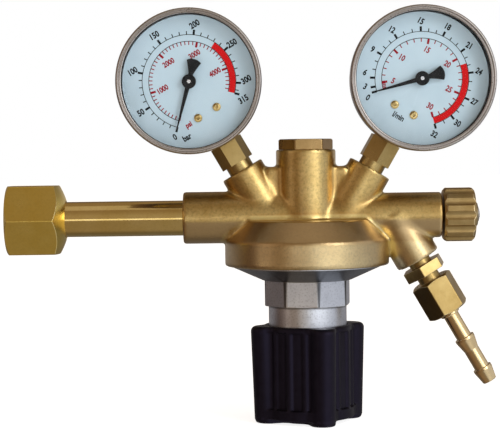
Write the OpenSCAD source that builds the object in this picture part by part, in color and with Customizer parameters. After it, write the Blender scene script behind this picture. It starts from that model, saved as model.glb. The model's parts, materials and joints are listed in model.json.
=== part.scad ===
// Single-stage gas regulator: inlet nut and stem, forged body, two dial gauges, an outlet valve,
// a hose tail and a spring-loaded adjusting knob. Millimetres.
// The origin is the sealing face of the inlet, on the inlet axis. +X runs from the inlet into the
// body, +Z is up, and the gauges face -Y.

/* [Inlet connection] */
// Bore of the inlet nut over its thread
inlet_thread_d = 21.8; // [20.5:0.1:24]
// Length of thread in the inlet nut, up to the sealing face
inlet_thread_len = 16.8; // [10:0.1:18]
// Across flats of the inlet nut
inlet_nut_af = 30; // [28:0.5:36]
// Turn of the inlet nut about its axis
inlet_nut_turn = 30; // [0:1:59]
// Lead-in chamfer at the mouth of the inlet nut
inlet_nut_entry = 1; // [0.5:0.1:2]
// Radius of the dome on the end of the inlet nut
inlet_nut_dome_r = 29.5; // [26:0.5:40]
// Diameter of the flat in the middle of that dome
inlet_nut_nose_d = 17.2; // [17:0.1:20]
// Thickness of the inlet nut behind the collar
inlet_nut_shoulder = 3; // [2:0.1:6]
// Diameter of the collar on the inlet stem
collar_d = 19; // [18:0.1:20]
// Thickness of the collar
collar_len = 4; // [3:0.1:6]
// Diameter of the inlet stem
stem_d = 15.5; // [15:0.1:17]
// Length of the inlet stem between collar and body
stem_len = 55; // [30:0.5:80]
// Bore of the inlet stem
stem_bore_d = 5; // [3:0.1:6]
// Diameter of the stem's thread in the body
stem_thread_d = 14; // [12:0.1:15]
// Length of the stem's thread in the body
stem_thread_len = 12; // [8:0.5:16]
// Diameter of the sealing ring
seal_od = 15; // [13:0.1:16]
// Bore of the sealing ring
seal_id = 9.4; // [9:0.1:10.5]
// Thickness of the sealing ring
seal_t = 2; // [1.5:0.1:3]
// How far the sealing ring stands out of the collar
seal_proud = 0.5; // [0.3:0.1:0.8]
// Diameter of the sintered filter
filter_d = 8; // [6.5:0.1:8.6]
// Length of the sintered filter
filter_len = 14; // [8:0.5:20]
// Depth of the relief groove behind the inlet nut's thread
nut_relief = 0.5; // [0.3:0.1:0.8]

/* [Body] */
// Distance from the inlet boss face to the body axis
inlet_reach = 54.2; // [46:0.1:65]
// Diameter of the inlet boss
inlet_boss_d = 22.8; // [20:0.1:26]
// Diameter of the upright column
column_d = 26.2; // [25:0.1:30]
// Height of the column above the inlet axis
column_top = 29.4; // [27:0.1:34]
// Small chamfer on the ends of the bosses and the column
edge = 0.7; // [0.4:0.1:1.6]
// Top diameter of the bowl
bowl_top_d = 56; // [48:0.5:60]
// Depth of the bowl's top below the inlet axis
bowl_shoulder = 1.2; // [0:0.1:2]
// Outer diameter of the bowl
bowl_d = 72.2; // [70:0.1:80]
// Height of the cone of the bowl
bowl_cone_h = 8.8; // [8:0.1:12]
// Height of the straight rim of the bowl
bowl_rim_h = 11.3; // [9.5:0.1:14]
// Height of the web between the column and the gauge bosses
web_top = 22; // [18:0.5:23]
// Thickness of that web
web_t = 13; // [8:0.5:18]
// Diameter of the drilled gas ways
gas_way_d = 4; // [3:0.1:4.4]

/* [Pressure valve] */
// Diameter of the high pressure chamber in the column
supply_chamber_d = 16; // [15:0.1:17]
// Depth of the high pressure chamber below the inlet axis
supply_chamber_floor = 5; // [4:0.1:5.5]
// Diameter of the valve cap's thread
cap_thread_d = 20; // [19:0.1:21]
// Length of the valve cap's thread
cap_thread_len = 9; // [6:0.5:10]
// Across flats of the valve cap
cap_af = 21; // [18:0.1:22]
// Height of the valve cap's hexagon
cap_h = 4.7; // [3:0.1:8]
// Face of the cap as a share of its width across flats
cap_face = 1.07; // [0.95:0.01:1.1]
// Turn of the valve cap about the body axis
cap_turn = 5; // [0:1:59]
// Diameter of the guide under the valve cap
cap_guide_d = 9; // [7:0.1:11]
// Height of the lower end of that guide
cap_guide_z = 11; // [10:0.1:13]
// Thickness of the ring under the valve cap's thread
cap_seal_t = 1; // [0.8:0.1:1.5]
// Diameter of the nozzle's thread
nozzle_d = 11; // [9:0.1:12]
// Diameter of the nozzle's flange
nozzle_flange_d = 14; // [13:0.1:14.6]
// Thickness of the nozzle's flange
nozzle_flange_t = 2; // [1.5:0.1:2.5]
// Bore of the nozzle
nozzle_bore_d = 4; // [3.4:0.1:5]
// Width of the seat lip on the nozzle
seat_lip_w = 1; // [0.6:0.1:1.2]
// Height of the seat lip on the nozzle
seat_lip_h = 0.6; // [0.4:0.1:1]
// Diameter of the poppet's head
poppet_d = 10; // [9:0.1:11]
// Height of the poppet's head
poppet_h = 5.2; // [4:0.1:6]
// Diameter of the poppet's guide stem
poppet_stem_d = 4; // [3:0.1:5]
// Length of the poppet's guide stem above its head
poppet_stem_len = 11; // [9.5:0.1:13]
// Diameter of the poppet's push pin
push_pin_d = 2.2; // [1.6:0.1:2.6]
// How far the soft pad stands out of the poppet's head
pad_proud = 0.2; // [0.1:0.1:0.4]
// Room above the poppet's guide stem
stem_lift_room = 2; // [1.2:0.1:3]
// Diameter of the soft pad in the poppet
pad_d = 7.6; // [7:0.1:8.2]
// Thickness of the soft pad
pad_t = 1.5; // [1:0.1:2]
// Wire of the poppet's spring
valve_wire_d = 0.8; // [0.6:0.1:1]
// Mean diameter of the poppet's spring
valve_spring_d = 7; // [6.2:0.1:7.6]
// Turns of the poppet's spring
valve_spring_turns = 5; // [4:1:6]

/* [Diaphragm] */
// Diameter of the outlet pressure chamber
chamber_d = 50; // [48:0.1:52]
// Depth of the chamber's ceiling below the inlet axis
chamber_top = 9.5; // [9:0.1:10]
// Height of the chamber above the diaphragm
chamber_h = 3; // [2.8:0.1:4]
// Thickness of the diaphragm
diaphragm_t = 1.5; // [1:0.1:2]
// Diameter of the diaphragm and the slip ring
diaphragm_d = 61; // [59:0.1:61.8]
// Gap between the diaphragm's edge and the thread round it
diaphragm_room = 0.5; // [0.3:0.1:1]
// Diameter of the plate on top of the diaphragm
upper_plate_d = 16; // [12:0.5:17]
// Thickness of that plate
upper_plate_t = 1.6; // [1:0.1:2]
// Diameter of the spring plate under the diaphragm
spring_plate_d = 27; // [26:0.1:28]
// Thickness of the spring plate
spring_plate_t = 3; // [2:0.1:4]
// Diameter of the rivet through diaphragm and plates
rivet_d = 5; // [4:0.1:6]
// Width of the slip ring
slip_ring_w = 5; // [3:0.1:6]
// Thickness of the slip ring
slip_ring_t = 1; // [0.6:0.1:1.5]

/* [Bonnet] */
// Diameter of the bonnet's thread in the bowl
bonnet_thread_d = 62; // [60:0.1:64]
// Diameter of the bonnet's flange
bonnet_flange_d = 66; // [64:0.1:70]
// Thickness of the bonnet's flange
bonnet_flange_t = 0.5; // [0.4:0.1:2]
// Height of the bonnet's cone
bonnet_cone_h = 5.9; // [4:0.1:10]
// Step from the bonnet's cone to the corners of its octagon
bonnet_step = 0.4; // [0.2:0.1:2]
// Across flats of the bonnet's octagon
octagon_af = 36; // [35:0.1:40]
// Height of the octagon
octagon_h = 11.4; // [6:0.1:14]
// Turn of the octagon about the body axis
octagon_turn = 13; // [0:1:45]
// Diameter of the bonnet's neck
neck_d = 34.4; // [34:0.1:35.2]
// Length of the bonnet's neck
neck_len = 27.1; // [26:0.1:29]
// Diameter of the spring's room in the bonnet
spring_room_d = 29; // [28.6:0.1:31]
// Thickness of the bonnet's end, where the screw is threaded
bonnet_end_t = 8; // [6:0.1:9]

/* [Adjusting knob] */
// Diameter of the adjusting screw
screw_d = 12; // [8:0.1:14]
// Climb of the adjusting screw in one turn
screw_pitch = 1.5; // [1:0.25:1.5]
// Turns of the adjusting screw between its stops
screw_turns = 4; // [2:0.5:4]
// Across flats of the screw's end in the knob
screw_hex_af = 11; // [9:0.1:14]
// Length of the screw's end in the knob
screw_hex_len = 8; // [5:0.1:9]
// Wire of the adjusting spring
spring_wire_d = 3; // [2:0.1:3.2]
// Mean diameter of the adjusting spring
spring_d = 22; // [20:0.1:23]
// Turns of the adjusting spring
spring_turns = 7; // [4:1:7]
// Thickness of the spring button
button_t = 4; // [3:0.1:5]
// Spigot on the spring button and the spring plate, inside the spring
spigot_d = 17; // [12:0.1:17.4]
// Height of that spigot
spigot_h = 2; // [1:0.1:3]
// Room between the spring button and the bonnet's end
button_gap = 5; // [1:0.1:6]
// Gap that stays between the octagon and the knob, screwed right in
knob_stop_gap = 2.5; // [1:0.1:4]
// Height of the adjusting knob
knob_h = 42.4; // [40:0.1:46]
// Diameter over the knob's lobes at the top
knob_d = 52.4; // [46:0.1:60]
// How much the lobes draw in towards the bottom, on the diameter
knob_draft = 2.8; // [0:0.1:4]
// Number of lobes
knob_lobes = 4; // [3:1:6]
// Turn of the first lobe from the front
knob_turn = 17; // [0:1:89]
// Radius of a lobe's tip
lobe_r = 5.3; // [3:0.1:6]
// Fillet between a lobe and the knob's wall
lobe_fillet = 2.5; // [1:0.5:5]
// Diameter of the knob's wall between the lobes
knob_wall_d = 37.8; // [37.6:0.1:40]
// Ribs between two lobes
knob_ribs = 3; // [1:1:4]
// Diameter of a rib
rib_d = 4; // [2:0.1:5]
// How far a rib stands out of the wall
rib_proud = 1; // [0.3:0.1:1.2]
// Height of the knob's plain foot
knob_foot = 6.5; // [3:0.1:10]
// How far that foot stands out of the wall
foot_proud = 1.3; // [0.5:0.1:2]
// How far the foot's wall ends above the ends of the lobes
foot_rise = 1.8; // [0.5:0.1:3]
// Diameter of the sole between the lobes' ends
sole_d = 28; // [20:0.5:36]
// Gap that stays between the neck and the knob's floor, screwed right in
neck_stop_gap = 2.5; // [2:0.1:4]
// Edge rounding of the knob
knob_round = 2; // [0.5:0.1:3]

/* [Outlet valve] */
// Diameter of the outlet valve's boss
valve_boss_d = 20; // [18:0.1:24]
// Distance from the body axis to the end of that boss
valve_reach = 59.2; // [57:0.1:66]
// Distance from the body axis to the drilling that feeds the valve
feed_x = 22.2; // [21.8:0.1:22.6]
// Distance from the body axis to the valve's seat
valve_seat_x = 28; // [26:0.1:30]
// Diameter of the valve's room
valve_room_d = 12; // [11:0.1:13]
// Diameter of the valve disc
disc_d = 9.6; // [8:0.1:10]
// Thickness of the valve disc
disc_t = 3; // [2:0.1:4]
// Diameter of the gland
gland_d = 13.6; // [13.2:0.1:14.4]
// Length of the gland
gland_len = 16; // [12:0.1:17]
// Diameter of the spindle
spindle_d = 6; // [5.4:0.1:7]
// Diameter of the spindle's nose in the disc
nose_d = 3.8; // [2:0.1:5]
// Length of the spindle's nose
nose_len = 1.5; // [1:0.1:1.8]
// Wire of the spindle's sealing ring
oring_d = 1.8; // [1.4:0.1:2.2]
// Diameter of the spindle's end in the knob
spindle_end_d = 5; // [4:0.1:5.2]
// Gap between the boss and the valve knob, closed
valve_knob_gap = 0.8; // [0.4:0.1:2]
// Length of the valve knob
valve_knob_len = 13.7; // [11:0.1:18]
// Diameter of the valve knob
valve_knob_d = 23.9; // [20:0.1:30]
// Flutes round the valve knob
valve_knob_flutes = 12; // [8:1:16]
// Radius of a flute
flute_r = 2.4; // [1:0.1:3]
// Depth of a flute
flute_depth = 1; // [0.4:0.1:1.2]
// Edge chamfer of the valve knob
valve_knob_edge = 1.2; // [0.4:0.1:2]
// Diameter of the washer on the valve knob
washer_d = 10.4; // [8:0.1:14]
// Thickness of that washer
washer_t = 1.5; // [0.8:0.1:2]
// Diameter of the knob screw's head
dome_d = 8; // [5:0.1:9]
// Height of the knob screw's head
dome_h = 1.2; // [0.8:0.1:2]
// Diameter of the knob screw
knob_screw_d = 2.8; // [2:0.1:3.2]
// Length of the knob screw below its washer
knob_screw_len = 8; // [5:0.1:10]

/* [Outlet] */
// Distance from the body axis to the foot of the outlet axis
outlet_foot = 37.7; // [37:0.1:40]
// Lean of the outlet axis from straight down
outlet_angle = 30; // [26:1:34]
// Diameter of the outlet boss
outlet_boss_d = 20; // [18:0.1:24]
// Length of the outlet boss from the valve axis
outlet_boss_len = 22.7; // [21:0.1:26]
// Diameter of the outlet threads
outlet_thread_d = 13; // [12:0.1:13.6]
// Depth of the outlet boss's thread
outlet_thread_depth = 8.5; // [7:0.1:9]
// Bore of the outlet boss, adapter and hose tail
outlet_bore_d = 4.4; // [3:0.1:5]
// Thickness of the ring under the adapter
adapter_seal_t = 1.5; // [1:0.1:2]
// Bore of that ring
adapter_seal_id = 6.4; // [5.4:0.1:8]
// Diameter of the adapter's necks
adapter_neck_d = 10; // [9:0.1:12]
// Length of the neck above the adapter's hexagon
adapter_neck_len = 2.5; // [2:0.1:6]
// Across flats of the adapter and the outlet nut
outlet_af = 17; // [16.4:0.1:20]
// Turn of the adapter's hexagon about the outlet axis
adapter_turn = 42; // [0:1:59]
// Turn of the outlet nut about the outlet axis
outlet_nut_turn = 49; // [0:1:59]
// Thickness of the adapter's hexagon
adapter_hex_h = 4.8; // [3:0.1:8]
// Gap between the adapter's hexagon and the outlet nut
outlet_nut_gap = 3.2; // [1:0.1:5]
// Thread of the adapter inside the outlet nut
adapter_thread_len = 9.5; // [6:0.1:10]
// Length of the outlet nut
outlet_nut_len = 16.3; // [14:0.1:19]
// Diameter of the hose tail's head in the nut
tail_head_d = 12; // [10:0.1:12.4]
// Thickness of that head
tail_head_t = 2.4; // [1.5:0.1:3]
// Diameter of the hose tail where it leaves the nut
tail_collar_d = 8.8; // [8:0.1:9]
// How far that collar shows below the nut
tail_collar_len = 1.5; // [0.5:0.1:4]
// Diameter of the hose tail's stem
tail_stem_d = 6.9; // [6:0.1:8]
// Distance from the nut to the first barb
tail_stem_len = 14.4; // [8:0.1:20]
// Diameter of the first barb
barb_d = 9; // [8.4:0.1:9.2]
// Length of the land on the first barb
barb_land = 1.2; // [1:0.1:2]
// Distance between the barbs
barb_pitch = 15.5; // [10:0.1:20]
// Diameter of the second barb
tip_barb_d = 8.6; // [7.4:0.1:9]
// Waist of the hose tail between the barbs
tail_waist_d = 6.8; // [6:0.1:7.2]
// Length of the taper behind a barb
barb_taper = 5; // [3:0.1:8]
// Length of the hose tail's tip
tail_tip_len = 5.8; // [4:0.1:10]
// Diameter at the end of the hose tail
tail_tip_d = 6.3; // [5.6:0.1:7]
// Length of the flow orifice
orifice_len = 3; // [2:0.1:4]
// Diameter of the flow orifice
orifice_d = 7; // [6:0.1:8]
// Hole in the flow orifice
orifice_hole_d = 1; // [0.5:0.1:2]

/* [Gauge connection] */
// Distance from the body axis to the foot of a gauge axis
gauge_foot = 16.2; // [15.4:0.1:16.4]
// Lean of a gauge axis from upright
gauge_angle = 30; // [29:0.5:32]
// Diameter of a gauge boss
gauge_boss_d = 19.6; // [18:0.1:22]
// Length of a gauge boss from the inlet axis
gauge_boss_len = 24; // [22:0.1:26]
// Distance from a boss face to the gauge centre
gauge_stand = 44.8; // [42:0.1:55]
// Diameter of the gauge thread
gauge_thread_d = 13; // [11:0.1:13.2]
// Depth of the gauge thread in its boss
gauge_thread_depth = 13; // [9:0.1:14]
// Thickness of the sealing ring under the gauge thread
gauge_seal_t = 1.5; // [1:0.1:2]
// Bore of that sealing ring
gauge_seal_id = 6; // [5:0.1:8]
// Diameter of the gauge's neck
gauge_neck_d = 11.4; // [9:0.1:12.4]
// Length of the gauge's neck
gauge_neck_len = 3.6; // [1:0.1:6]
// Across flats of the gauge's hexagon
gauge_hex_af = 13; // [12:0.1:17]
// Turn of the left gauge's hexagon about its stem
supply_hex_turn = 6; // [0:1:59]
// Turn of the right gauge's hexagon about its stem
flow_hex_turn = 35; // [0:1:59]
// Bore of the gauge's stem
gauge_bore_d = 3; // [2:0.1:4]

/* [Gauge case] */
// Diameter of the gauge case
case_d = 61; // [60:0.1:66]
// Wall of the gauge case
case_wall = 1; // [0.6:0.1:1.4]
// Distance from the gauge axis to the case's back
case_back = 11; // [10:0.1:14]
// Distance from the gauge axis to the case's front rim
case_front = 13; // [12.6:0.1:16]
// Thickness of the bezel
bezel_t = 1; // [0.6:0.1:1.6]
// Width of the bezel's front lip over the window
bezel_lip = 1.4; // [1:0.1:4]
// Length of the bezel along the case
bezel_skirt = 4; // [2:0.1:4.4]
// Thickness of the window
window_t = 1.9; // [1.4:0.1:3]
// Thickness of the window's seal
window_seal_t = 0.6; // [0.4:0.1:1]
// Width of the window's seal
window_seal_w = 1.6; // [1:0.1:2]
// Diameter of the blow-out plug
plug_d = 11; // [8:0.1:13]
// Diameter of the blow-out plug's flange
plug_flange_d = 16; // [14:0.1:18]
// Thickness of the blow-out plug's flange
plug_flange_t = 1.2; // [0.8:0.1:2]
// Width and height of the lip that holds the plug in the case
plug_lip = 1; // [0.4:0.1:1.4]
// Height of the blow-out plug above the gauge centre
plug_z = 9; // [8:0.1:10]
// Diameter of a case screw
case_screw_d = 3; // [2:0.1:3.6]
// Diameter of a case screw's head
case_screw_head_d = 5.4; // [4:0.1:6]
// Height of a case screw's head
case_screw_head_h = 1.6; // [1:0.1:2.4]
// Length of a case screw in the socket
case_screw_len = 3.6; // [2:0.1:5]
// Distance of the case screws below the gauge centre
case_screw_z = 20; // [19:0.1:22]
// Half the distance between the case screws
case_screw_x = 4.5; // [4:0.1:5]

/* [Gauge dial] */
// Distance from the gauge axis to the dial's face
dial_front = 8; // [7.6:0.1:8.6]
// Thickness of the dial
dial_t = 0.6; // [0.4:0.1:1]
// Gap between the dial and the case wall
dial_gap = 0.4; // [0.2:0.1:1]
// Half the distance between the dial screws
pillar_x = 4.7; // [4.6:0.1:5]
// Distance of the dial screws below the gauge centre
pillar_z = 15.6; // [15:0.1:16]
// Diameter of a movement pillar
pillar_d = 3.8; // [3:0.1:4]
// Diameter of a dial screw's head
dial_screw_head_d = 3.6; // [3:0.1:4.4]
// Height of a dial screw's head
dial_screw_head_h = 0.9; // [0.5:0.1:1.2]
// Diameter of a dial screw
dial_screw_d = 1.5; // [1:0.1:2]
// Length of a dial screw behind the dial
dial_screw_len = 3; // [2:0.1:5]
// Thickness of the pointer
pointer_t = 0.6; // [0.4:0.1:0.8]
// Height of the pointer's blade above the dial
pointer_gap = 1.8; // [1.2:0.1:2.2]
// Length of the pointer from its hub's centre
pointer_len = 21.5; // [16:0.5:25]
// Width of the pointer at its hub
pointer_w = 2.2; // [1.4:0.1:3]
// Width of the pointer at its tip
pointer_tip_w = 0.5; // [0.3:0.1:1]
// Length of the pointer's tail
pointer_tail = 10; // [6:0.1:12]
// Width of the pointer's tail
pointer_tail_w = 6.4; // [3:0.1:8]
// How far the end of the tail bulges
pointer_bulge = 1.1; // [0.5:0.1:2]
// Length of the tail before it widens
pointer_waist = 3.6; // [0:0.1:5]
// Height of the pointer's hub over its blade
pointer_hub_h = 0.4; // [0.2:0.1:0.8]
// Diameter of the pointer's hub
pointer_hub_d = 6.2; // [4:0.1:8]
// Turn of the zero mark from the stem, clockwise
zero_angle = 45; // [30:1:60]

/* [Gauge movement] */
// Gear module
gear_module = 0.4; // [0.38:0.01:0.42]
// Teeth of the pinion
pinion_teeth = 12; // [12:1:13]
// Teeth of the full sector circle
sector_teeth = 72; // [68:1:76]
// Teeth cut on the sector
sector_cut = 14; // [13:1:15]
// Play between the teeth
gear_play = 0.12; // [0.1:0.01:0.14]
// Diameter of the pointer's arbor
arbor_d = 1.6; // [1.2:0.1:2]
// Thickness of a movement plate
plate_t = 1; // [0.8:0.1:1.2]
// Distance from the gauge axis to the inside of the front plate
front_plate_at = 4.4; // [4.2:0.1:4.8]
// Distance from the gauge axis to the inside of the back plate
back_plate_at = 0.6; // [0.5:0.1:0.8]
// Thickness of the sector
sector_t = 1; // [0.8:0.1:1.2]
// Distance from the gauge axis to the back of the sector
sector_at = 1.4; // [1.3:0.1:1.6]
// Width of the sector's spoke
spoke_w = 2.6; // [1.6:0.1:2.8]
// Width of the sector's toothed rim behind the teeth
sector_rim_w = 2; // [1:0.1:3]
// Diameter of the sector's hub
sector_hub_d = 4; // [3:0.1:4.4]
// Width of the sector's tail
sector_tail_w = 2; // [1.6:0.1:2.4]
// Length of the sector's tail
sector_tail = 5; // [4:0.1:5.2]
// Thickness of the link
link_t = 0.8; // [0.6:0.1:0.8]
// Width of the link
link_w = 1.8; // [1.6:0.1:2]
// Diameter of the link's pins
link_pin_d = 1; // [0.8:0.1:1]
// Reach of the link across the gauge
link_x = 15.9; // [14.5:0.1:16.5]
// Rise of the link
link_z = 1.9; // [1:0.1:2.4]
// Half width of a movement plate at the arbor
plate_half = 4; // [3:0.1:5]
// Edge of a movement plate round the pillars
plate_margin = 4; // [3.6:0.1:4.4]
// Width of the block that carries the tube and the movement
block_w = 14; // [13.6:0.1:15]
// Edge of the block round the pillars
block_margin = 3.8; // [3:0.1:5]
// Distance from the gauge centre down to the block's foot
foot_drop = 25; // [24.4:0.1:26]
// Distance from the gauge axis to the front of the block's foot
foot_front = 6; // [5.8:0.1:6.8]
// Mean radius of the Bourdon tube
tube_r = 21; // [20.5:0.1:22]
// Radial thickness of the Bourdon tube
tube_t = 3; // [2:0.1:3.4]
// Width of the Bourdon tube
tube_w = 6; // [4:0.1:6.4]
// Wall of the Bourdon tube
tube_wall = 0.6; // [0.4:0.1:0.8]
// Gap between the Bourdon tube and the back plate
tube_gap = 0.4; // [0.3:0.1:0.8]
// Turn of the Bourdon tube's tip from the top, clockwise
tube_tip_angle = 130; // [124:1:134]
// Width of the finger on the tube's tip
finger_w = 2; // [1.4:0.1:2.4]
// Diameter of the finger's eye
finger_eye_d = 2.8; // [2.6:0.1:3.4]

/* [Clearances] */
// Gap between pieces that are screwed or pressed together
fit_gap = 0.05; // [0.02:0.01:0.08]
// Gap round a pin or spindle that turns
run_gap = 0.06; // [0.03:0.01:0.09]
// Gap between pieces that move past each other
free_gap = 0.3; // [0.3:0.05:0.4]

/* [Hidden] */
$fn = 64;

// Colours
brass = "#b8923f";
forged_brass = "#c9a45a";
steel = "#b9b6ae";
zinc = "#c9c9cc";
black_plastic = "#26242a";
rubber = "#2e2e30";
fibre = "#e8e4d8";
bronze = "#9c7a45";
dial_white = "#dfe9ee";

// Overlap of solids that are united, and of cutters past a face
join = 0.01;
cut = 1;

// Inlet, along X
collar_x = seal_proud;
collar_back = collar_x + collar_len;
boss_x = collar_back + stem_len;
body_x = boss_x + inlet_reach;
nut_mouth = -inlet_thread_len - inlet_nut_entry;
nut_seat = collar_back + free_gap;
nut_end = nut_seat + inlet_nut_shoulder;

// What a larger diaphragm adds to the thread round it, the bonnet's flange and the bowl
diaphragm_growth = max(0, diaphragm_d + 2 * diaphragm_room - bonnet_thread_d);
thread_d = bonnet_thread_d + diaphragm_growth;
flange_d = bonnet_flange_d + diaphragm_growth;

// Heights, along Z
bowl_bottom = -bowl_shoulder - bowl_cone_h - bowl_rim_h;
ceiling_z = -chamber_top;
ledge_z = ceiling_z - chamber_h;
slip_top = ledge_z - diaphragm_t;
bonnet_top = slip_top - slip_ring_t;
flange_bottom = bowl_bottom - bonnet_flange_t;
octagon_top = flange_bottom - bonnet_cone_h;
octagon_bottom = octagon_top - octagon_h;
neck_bottom = octagon_bottom - neck_len;
room_floor = neck_bottom + bonnet_end_t;
button_bottom = room_floor + button_gap;
button_top = button_bottom + button_t;
spring_top = slip_top - spring_plate_t;
screw_travel = screw_pitch * screw_turns;
knob_top = octagon_bottom - screw_travel - knob_stop_gap;
knob_bottom = knob_top - knob_h;
knob_floor = neck_bottom - screw_travel - neck_stop_gap;
cap_thread_bottom = column_top - cap_thread_len;
supply_floor = -supply_chamber_floor;
lip_z = supply_floor + nozzle_flange_t + seat_lip_h;
head_bottom = lip_z + pad_proud;
head_top = head_bottom + poppet_h;
pad_top = lip_z + pad_t;
plate_top = ledge_z + upper_plate_t;
stem_room = poppet_stem_len + head_top - cap_guide_z + stem_lift_room;

// Outlet valve, along X from the body axis
gland_x = valve_reach - gland_len;
disc_x = valve_seat_x + disc_t;
knob_x = valve_reach + valve_knob_gap;
knob_end = knob_x + valve_knob_len;
oring_mid_d = spindle_d + 2 * run_gap + oring_d;

// Outlet, along its own axis from the valve axis
outlet_floor = outlet_boss_len - outlet_thread_depth;
adapter_start = outlet_floor + adapter_seal_t;
hex_start = outlet_boss_len + adapter_neck_len;
hex_end = hex_start + adapter_hex_h;
nut_start = hex_end + outlet_nut_gap;
adapter_end = nut_start + adapter_thread_len;
tail_head_end = adapter_end + tail_head_t;
tail_seat = tail_head_end + free_gap;
outlet_nut_end = nut_start + outlet_nut_len;
tail_stem_start = outlet_nut_end + tail_collar_len;
barb_at = outlet_nut_end + tail_stem_len;
tip_barb_at = barb_at + barb_pitch;
tail_end = tip_barb_at + tail_tip_len;

// Gauge, along its stem from the inlet axis
gauge_u = gauge_boss_len + gauge_stand;
gauge_floor = gauge_boss_len - gauge_thread_depth;

// Gauge, along its face axis from the stem, positive to the front
window_back = case_front + window_seal_t;
bezel_inside = window_back + window_t;
bezel_front = bezel_inside + bezel_t;
bezel_d = case_d + 2 * (fit_gap + bezel_t);
window_d = case_d - 2 * fit_gap;
case_bore = case_d - 2 * case_wall;
block_front = -back_plate_at - plate_t;
block_back = -case_back + case_wall;
dial_back = dial_front - dial_t;
pointer_back = dial_front + pointer_gap;
hub_front = pointer_back + pointer_t + pointer_hub_h;
tube_front = block_front - tube_gap;
case_bottom = case_d / 2 + free_gap;
block_half = block_w / 2;
foot_top = -foot_drop;

// Gears
pinion_r = gear_module * pinion_teeth / 2;
sector_r = gear_module * sector_teeth / 2;
sector_z = -(pinion_r + sector_r);
addendum = 0.75 * gear_module;
dedendum = 1.1 * gear_module;
pressure_angle = 20;
sector_step = 360 / sector_teeth;
sector_first = -2;
sector_rest = (sector_first + (sector_cut - 1) / 2) * sector_step - sector_step / 2;
tail_pin = polar(sector_tail, 180 + sector_rest) + [0, sector_z];
link_reach = [link_x, link_z];
tip_pin = tail_pin + link_reach;
link_back = sector_at - free_gap - link_t;
finger_front = link_back - free_gap;

// A point at radius r, a degrees clockwise from straight up
function polar(r, a) = [r * sin(a), r * cos(a)];

// Involute of a circle at radius r, in degrees, for base radius b
function involute(b, r) = r <= b ? 0 : tan(acos(b / r)) * 180 / PI - acos(b / r);

// Half the angle that a tooth covers at radius r
function half_tooth(pitch_r, teeth, r) =
    let (b = pitch_r * cos(pressure_angle))
    90 / teeth - gear_play / 4 / pitch_r * 180 / PI + involute(b, pitch_r) - involute(b, r);

// One tooth's outline, clockwise, centred on angle a
function tooth(pitch_r, teeth, a) =
    let (
        b = pitch_r * cos(pressure_angle),
        root = pitch_r - dedendum,
        tip = pitch_r + addendum,
        low = max(b, root),
        radii = concat(root < b ? [root] : [], [for (i = [0:3]) low + (tip - low) * i / 3])
    )
    concat(
        [for (r = radii) polar(r, a - half_tooth(pitch_r, teeth, r))],
        [for (i = [len(radii) - 1:-1:0]) polar(radii[i], a + half_tooth(pitch_r, teeth, radii[i]))]
    );

// Moves to the body axis
module at_body() {
    translate([body_x, 0, 0]) children();
}

// Turns +Z along +X, starting x from the body axis
module along_x(x) {
    translate([body_x + x, 0, 0]) rotate([0, 90, 0]) children();
}

// Turns +Z along a gauge's stem, from the inlet axis outwards
module along_gauge(side) {
    translate([body_x + side * gauge_foot, 0, 0]) rotate([0, side * gauge_angle, 0]) children();
}

// Moves to a gauge's centre, with its stem pointing down
module at_gauge(side) {
    along_gauge(side) translate([0, 0, gauge_u]) children();
}

// Turns +Z to the front of a gauge, with X right and Y up on its face
module face(side, level = 0) {
    at_gauge(side) rotate([90, 0, 0]) translate([0, 0, level]) children();
}

// Turns +Z along the outlet, from the valve axis outwards
module along_outlet(t = 0) {
    translate([body_x + outlet_foot, 0, 0]) rotate([0, 180 - outlet_angle, 0]) translate([0, 0, t])
        children();
}

// A cylinder between two heights
module rod(d, from, to) {
    translate([0, 0, from]) cylinder(d = d, h = to - from);
}

// A ring between two heights
module ring(od, id, from, to) {
    difference() {
        rod(od, from, to);
        rod(id, from - cut, to + cut);
    }
}

// A boss with a chamfered end
module boss(d, from, to) {
    rod(d, from, to - edge);
    translate([0, 0, to - edge]) cylinder(d1 = d, d2 = d - 2 * edge, h = edge);
}

// A prism across flats, its corners turned down to a cone at the ends that are asked for
module nut_blank(af, from, to, sides = 6, low = true, high = true, face = 0.97) {
    across_corners = af / cos(180 / sides);
    end_d = af * face;
    drop = (across_corners - end_d) / 2 * tan(30);
    intersection() {
        translate([0, 0, from]) cylinder(d = across_corners, h = to - from, $fn = sides);
        rotate_extrude() polygon([
            [0, from],
            [low ? end_d / 2 : across_corners, from],
            [low ? across_corners / 2 : across_corners, from + (low ? drop : 0)],
            [high ? across_corners / 2 : across_corners, to - (high ? drop : 0)],
            [high ? end_d / 2 : across_corners, to],
            [0, to]
        ]);
    }
}

// A helical spring of round wire that stands between two heights
module coil(mean_d, wire_d, from, to, turns, rings = 10, sides = 6) {
    steps = turns * rings;
    rise = to - from - wire_d;
    r = wire_d / 2;
    points = [
        for (i = [0:steps], j = [0:sides - 1])
        let (a = 360 * i / rings, b = 360 * j / sides + 90, d = mean_d / 2 + r * cos(b))
        [d * cos(a), d * sin(a), from + r + rise * i / steps + r * sin(b)]
    ];
    walls = [
        for (i = [0:steps - 1], j = [0:sides - 1])
        let (k = (j + 1) % sides, p = i * sides, q = p + sides)
        each [[p + j, q + j, p + k], [p + k, q + j, q + k]]
    ];
    first = [for (j = [1:sides - 2]) [0, j, j + 1]];
    last = [for (j = [1:sides - 2]) [steps * sides, steps * sides + j + 1, steps * sides + j]];
    polyhedron(points, concat(walls, first, last));
}

// Inlet connection

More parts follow.
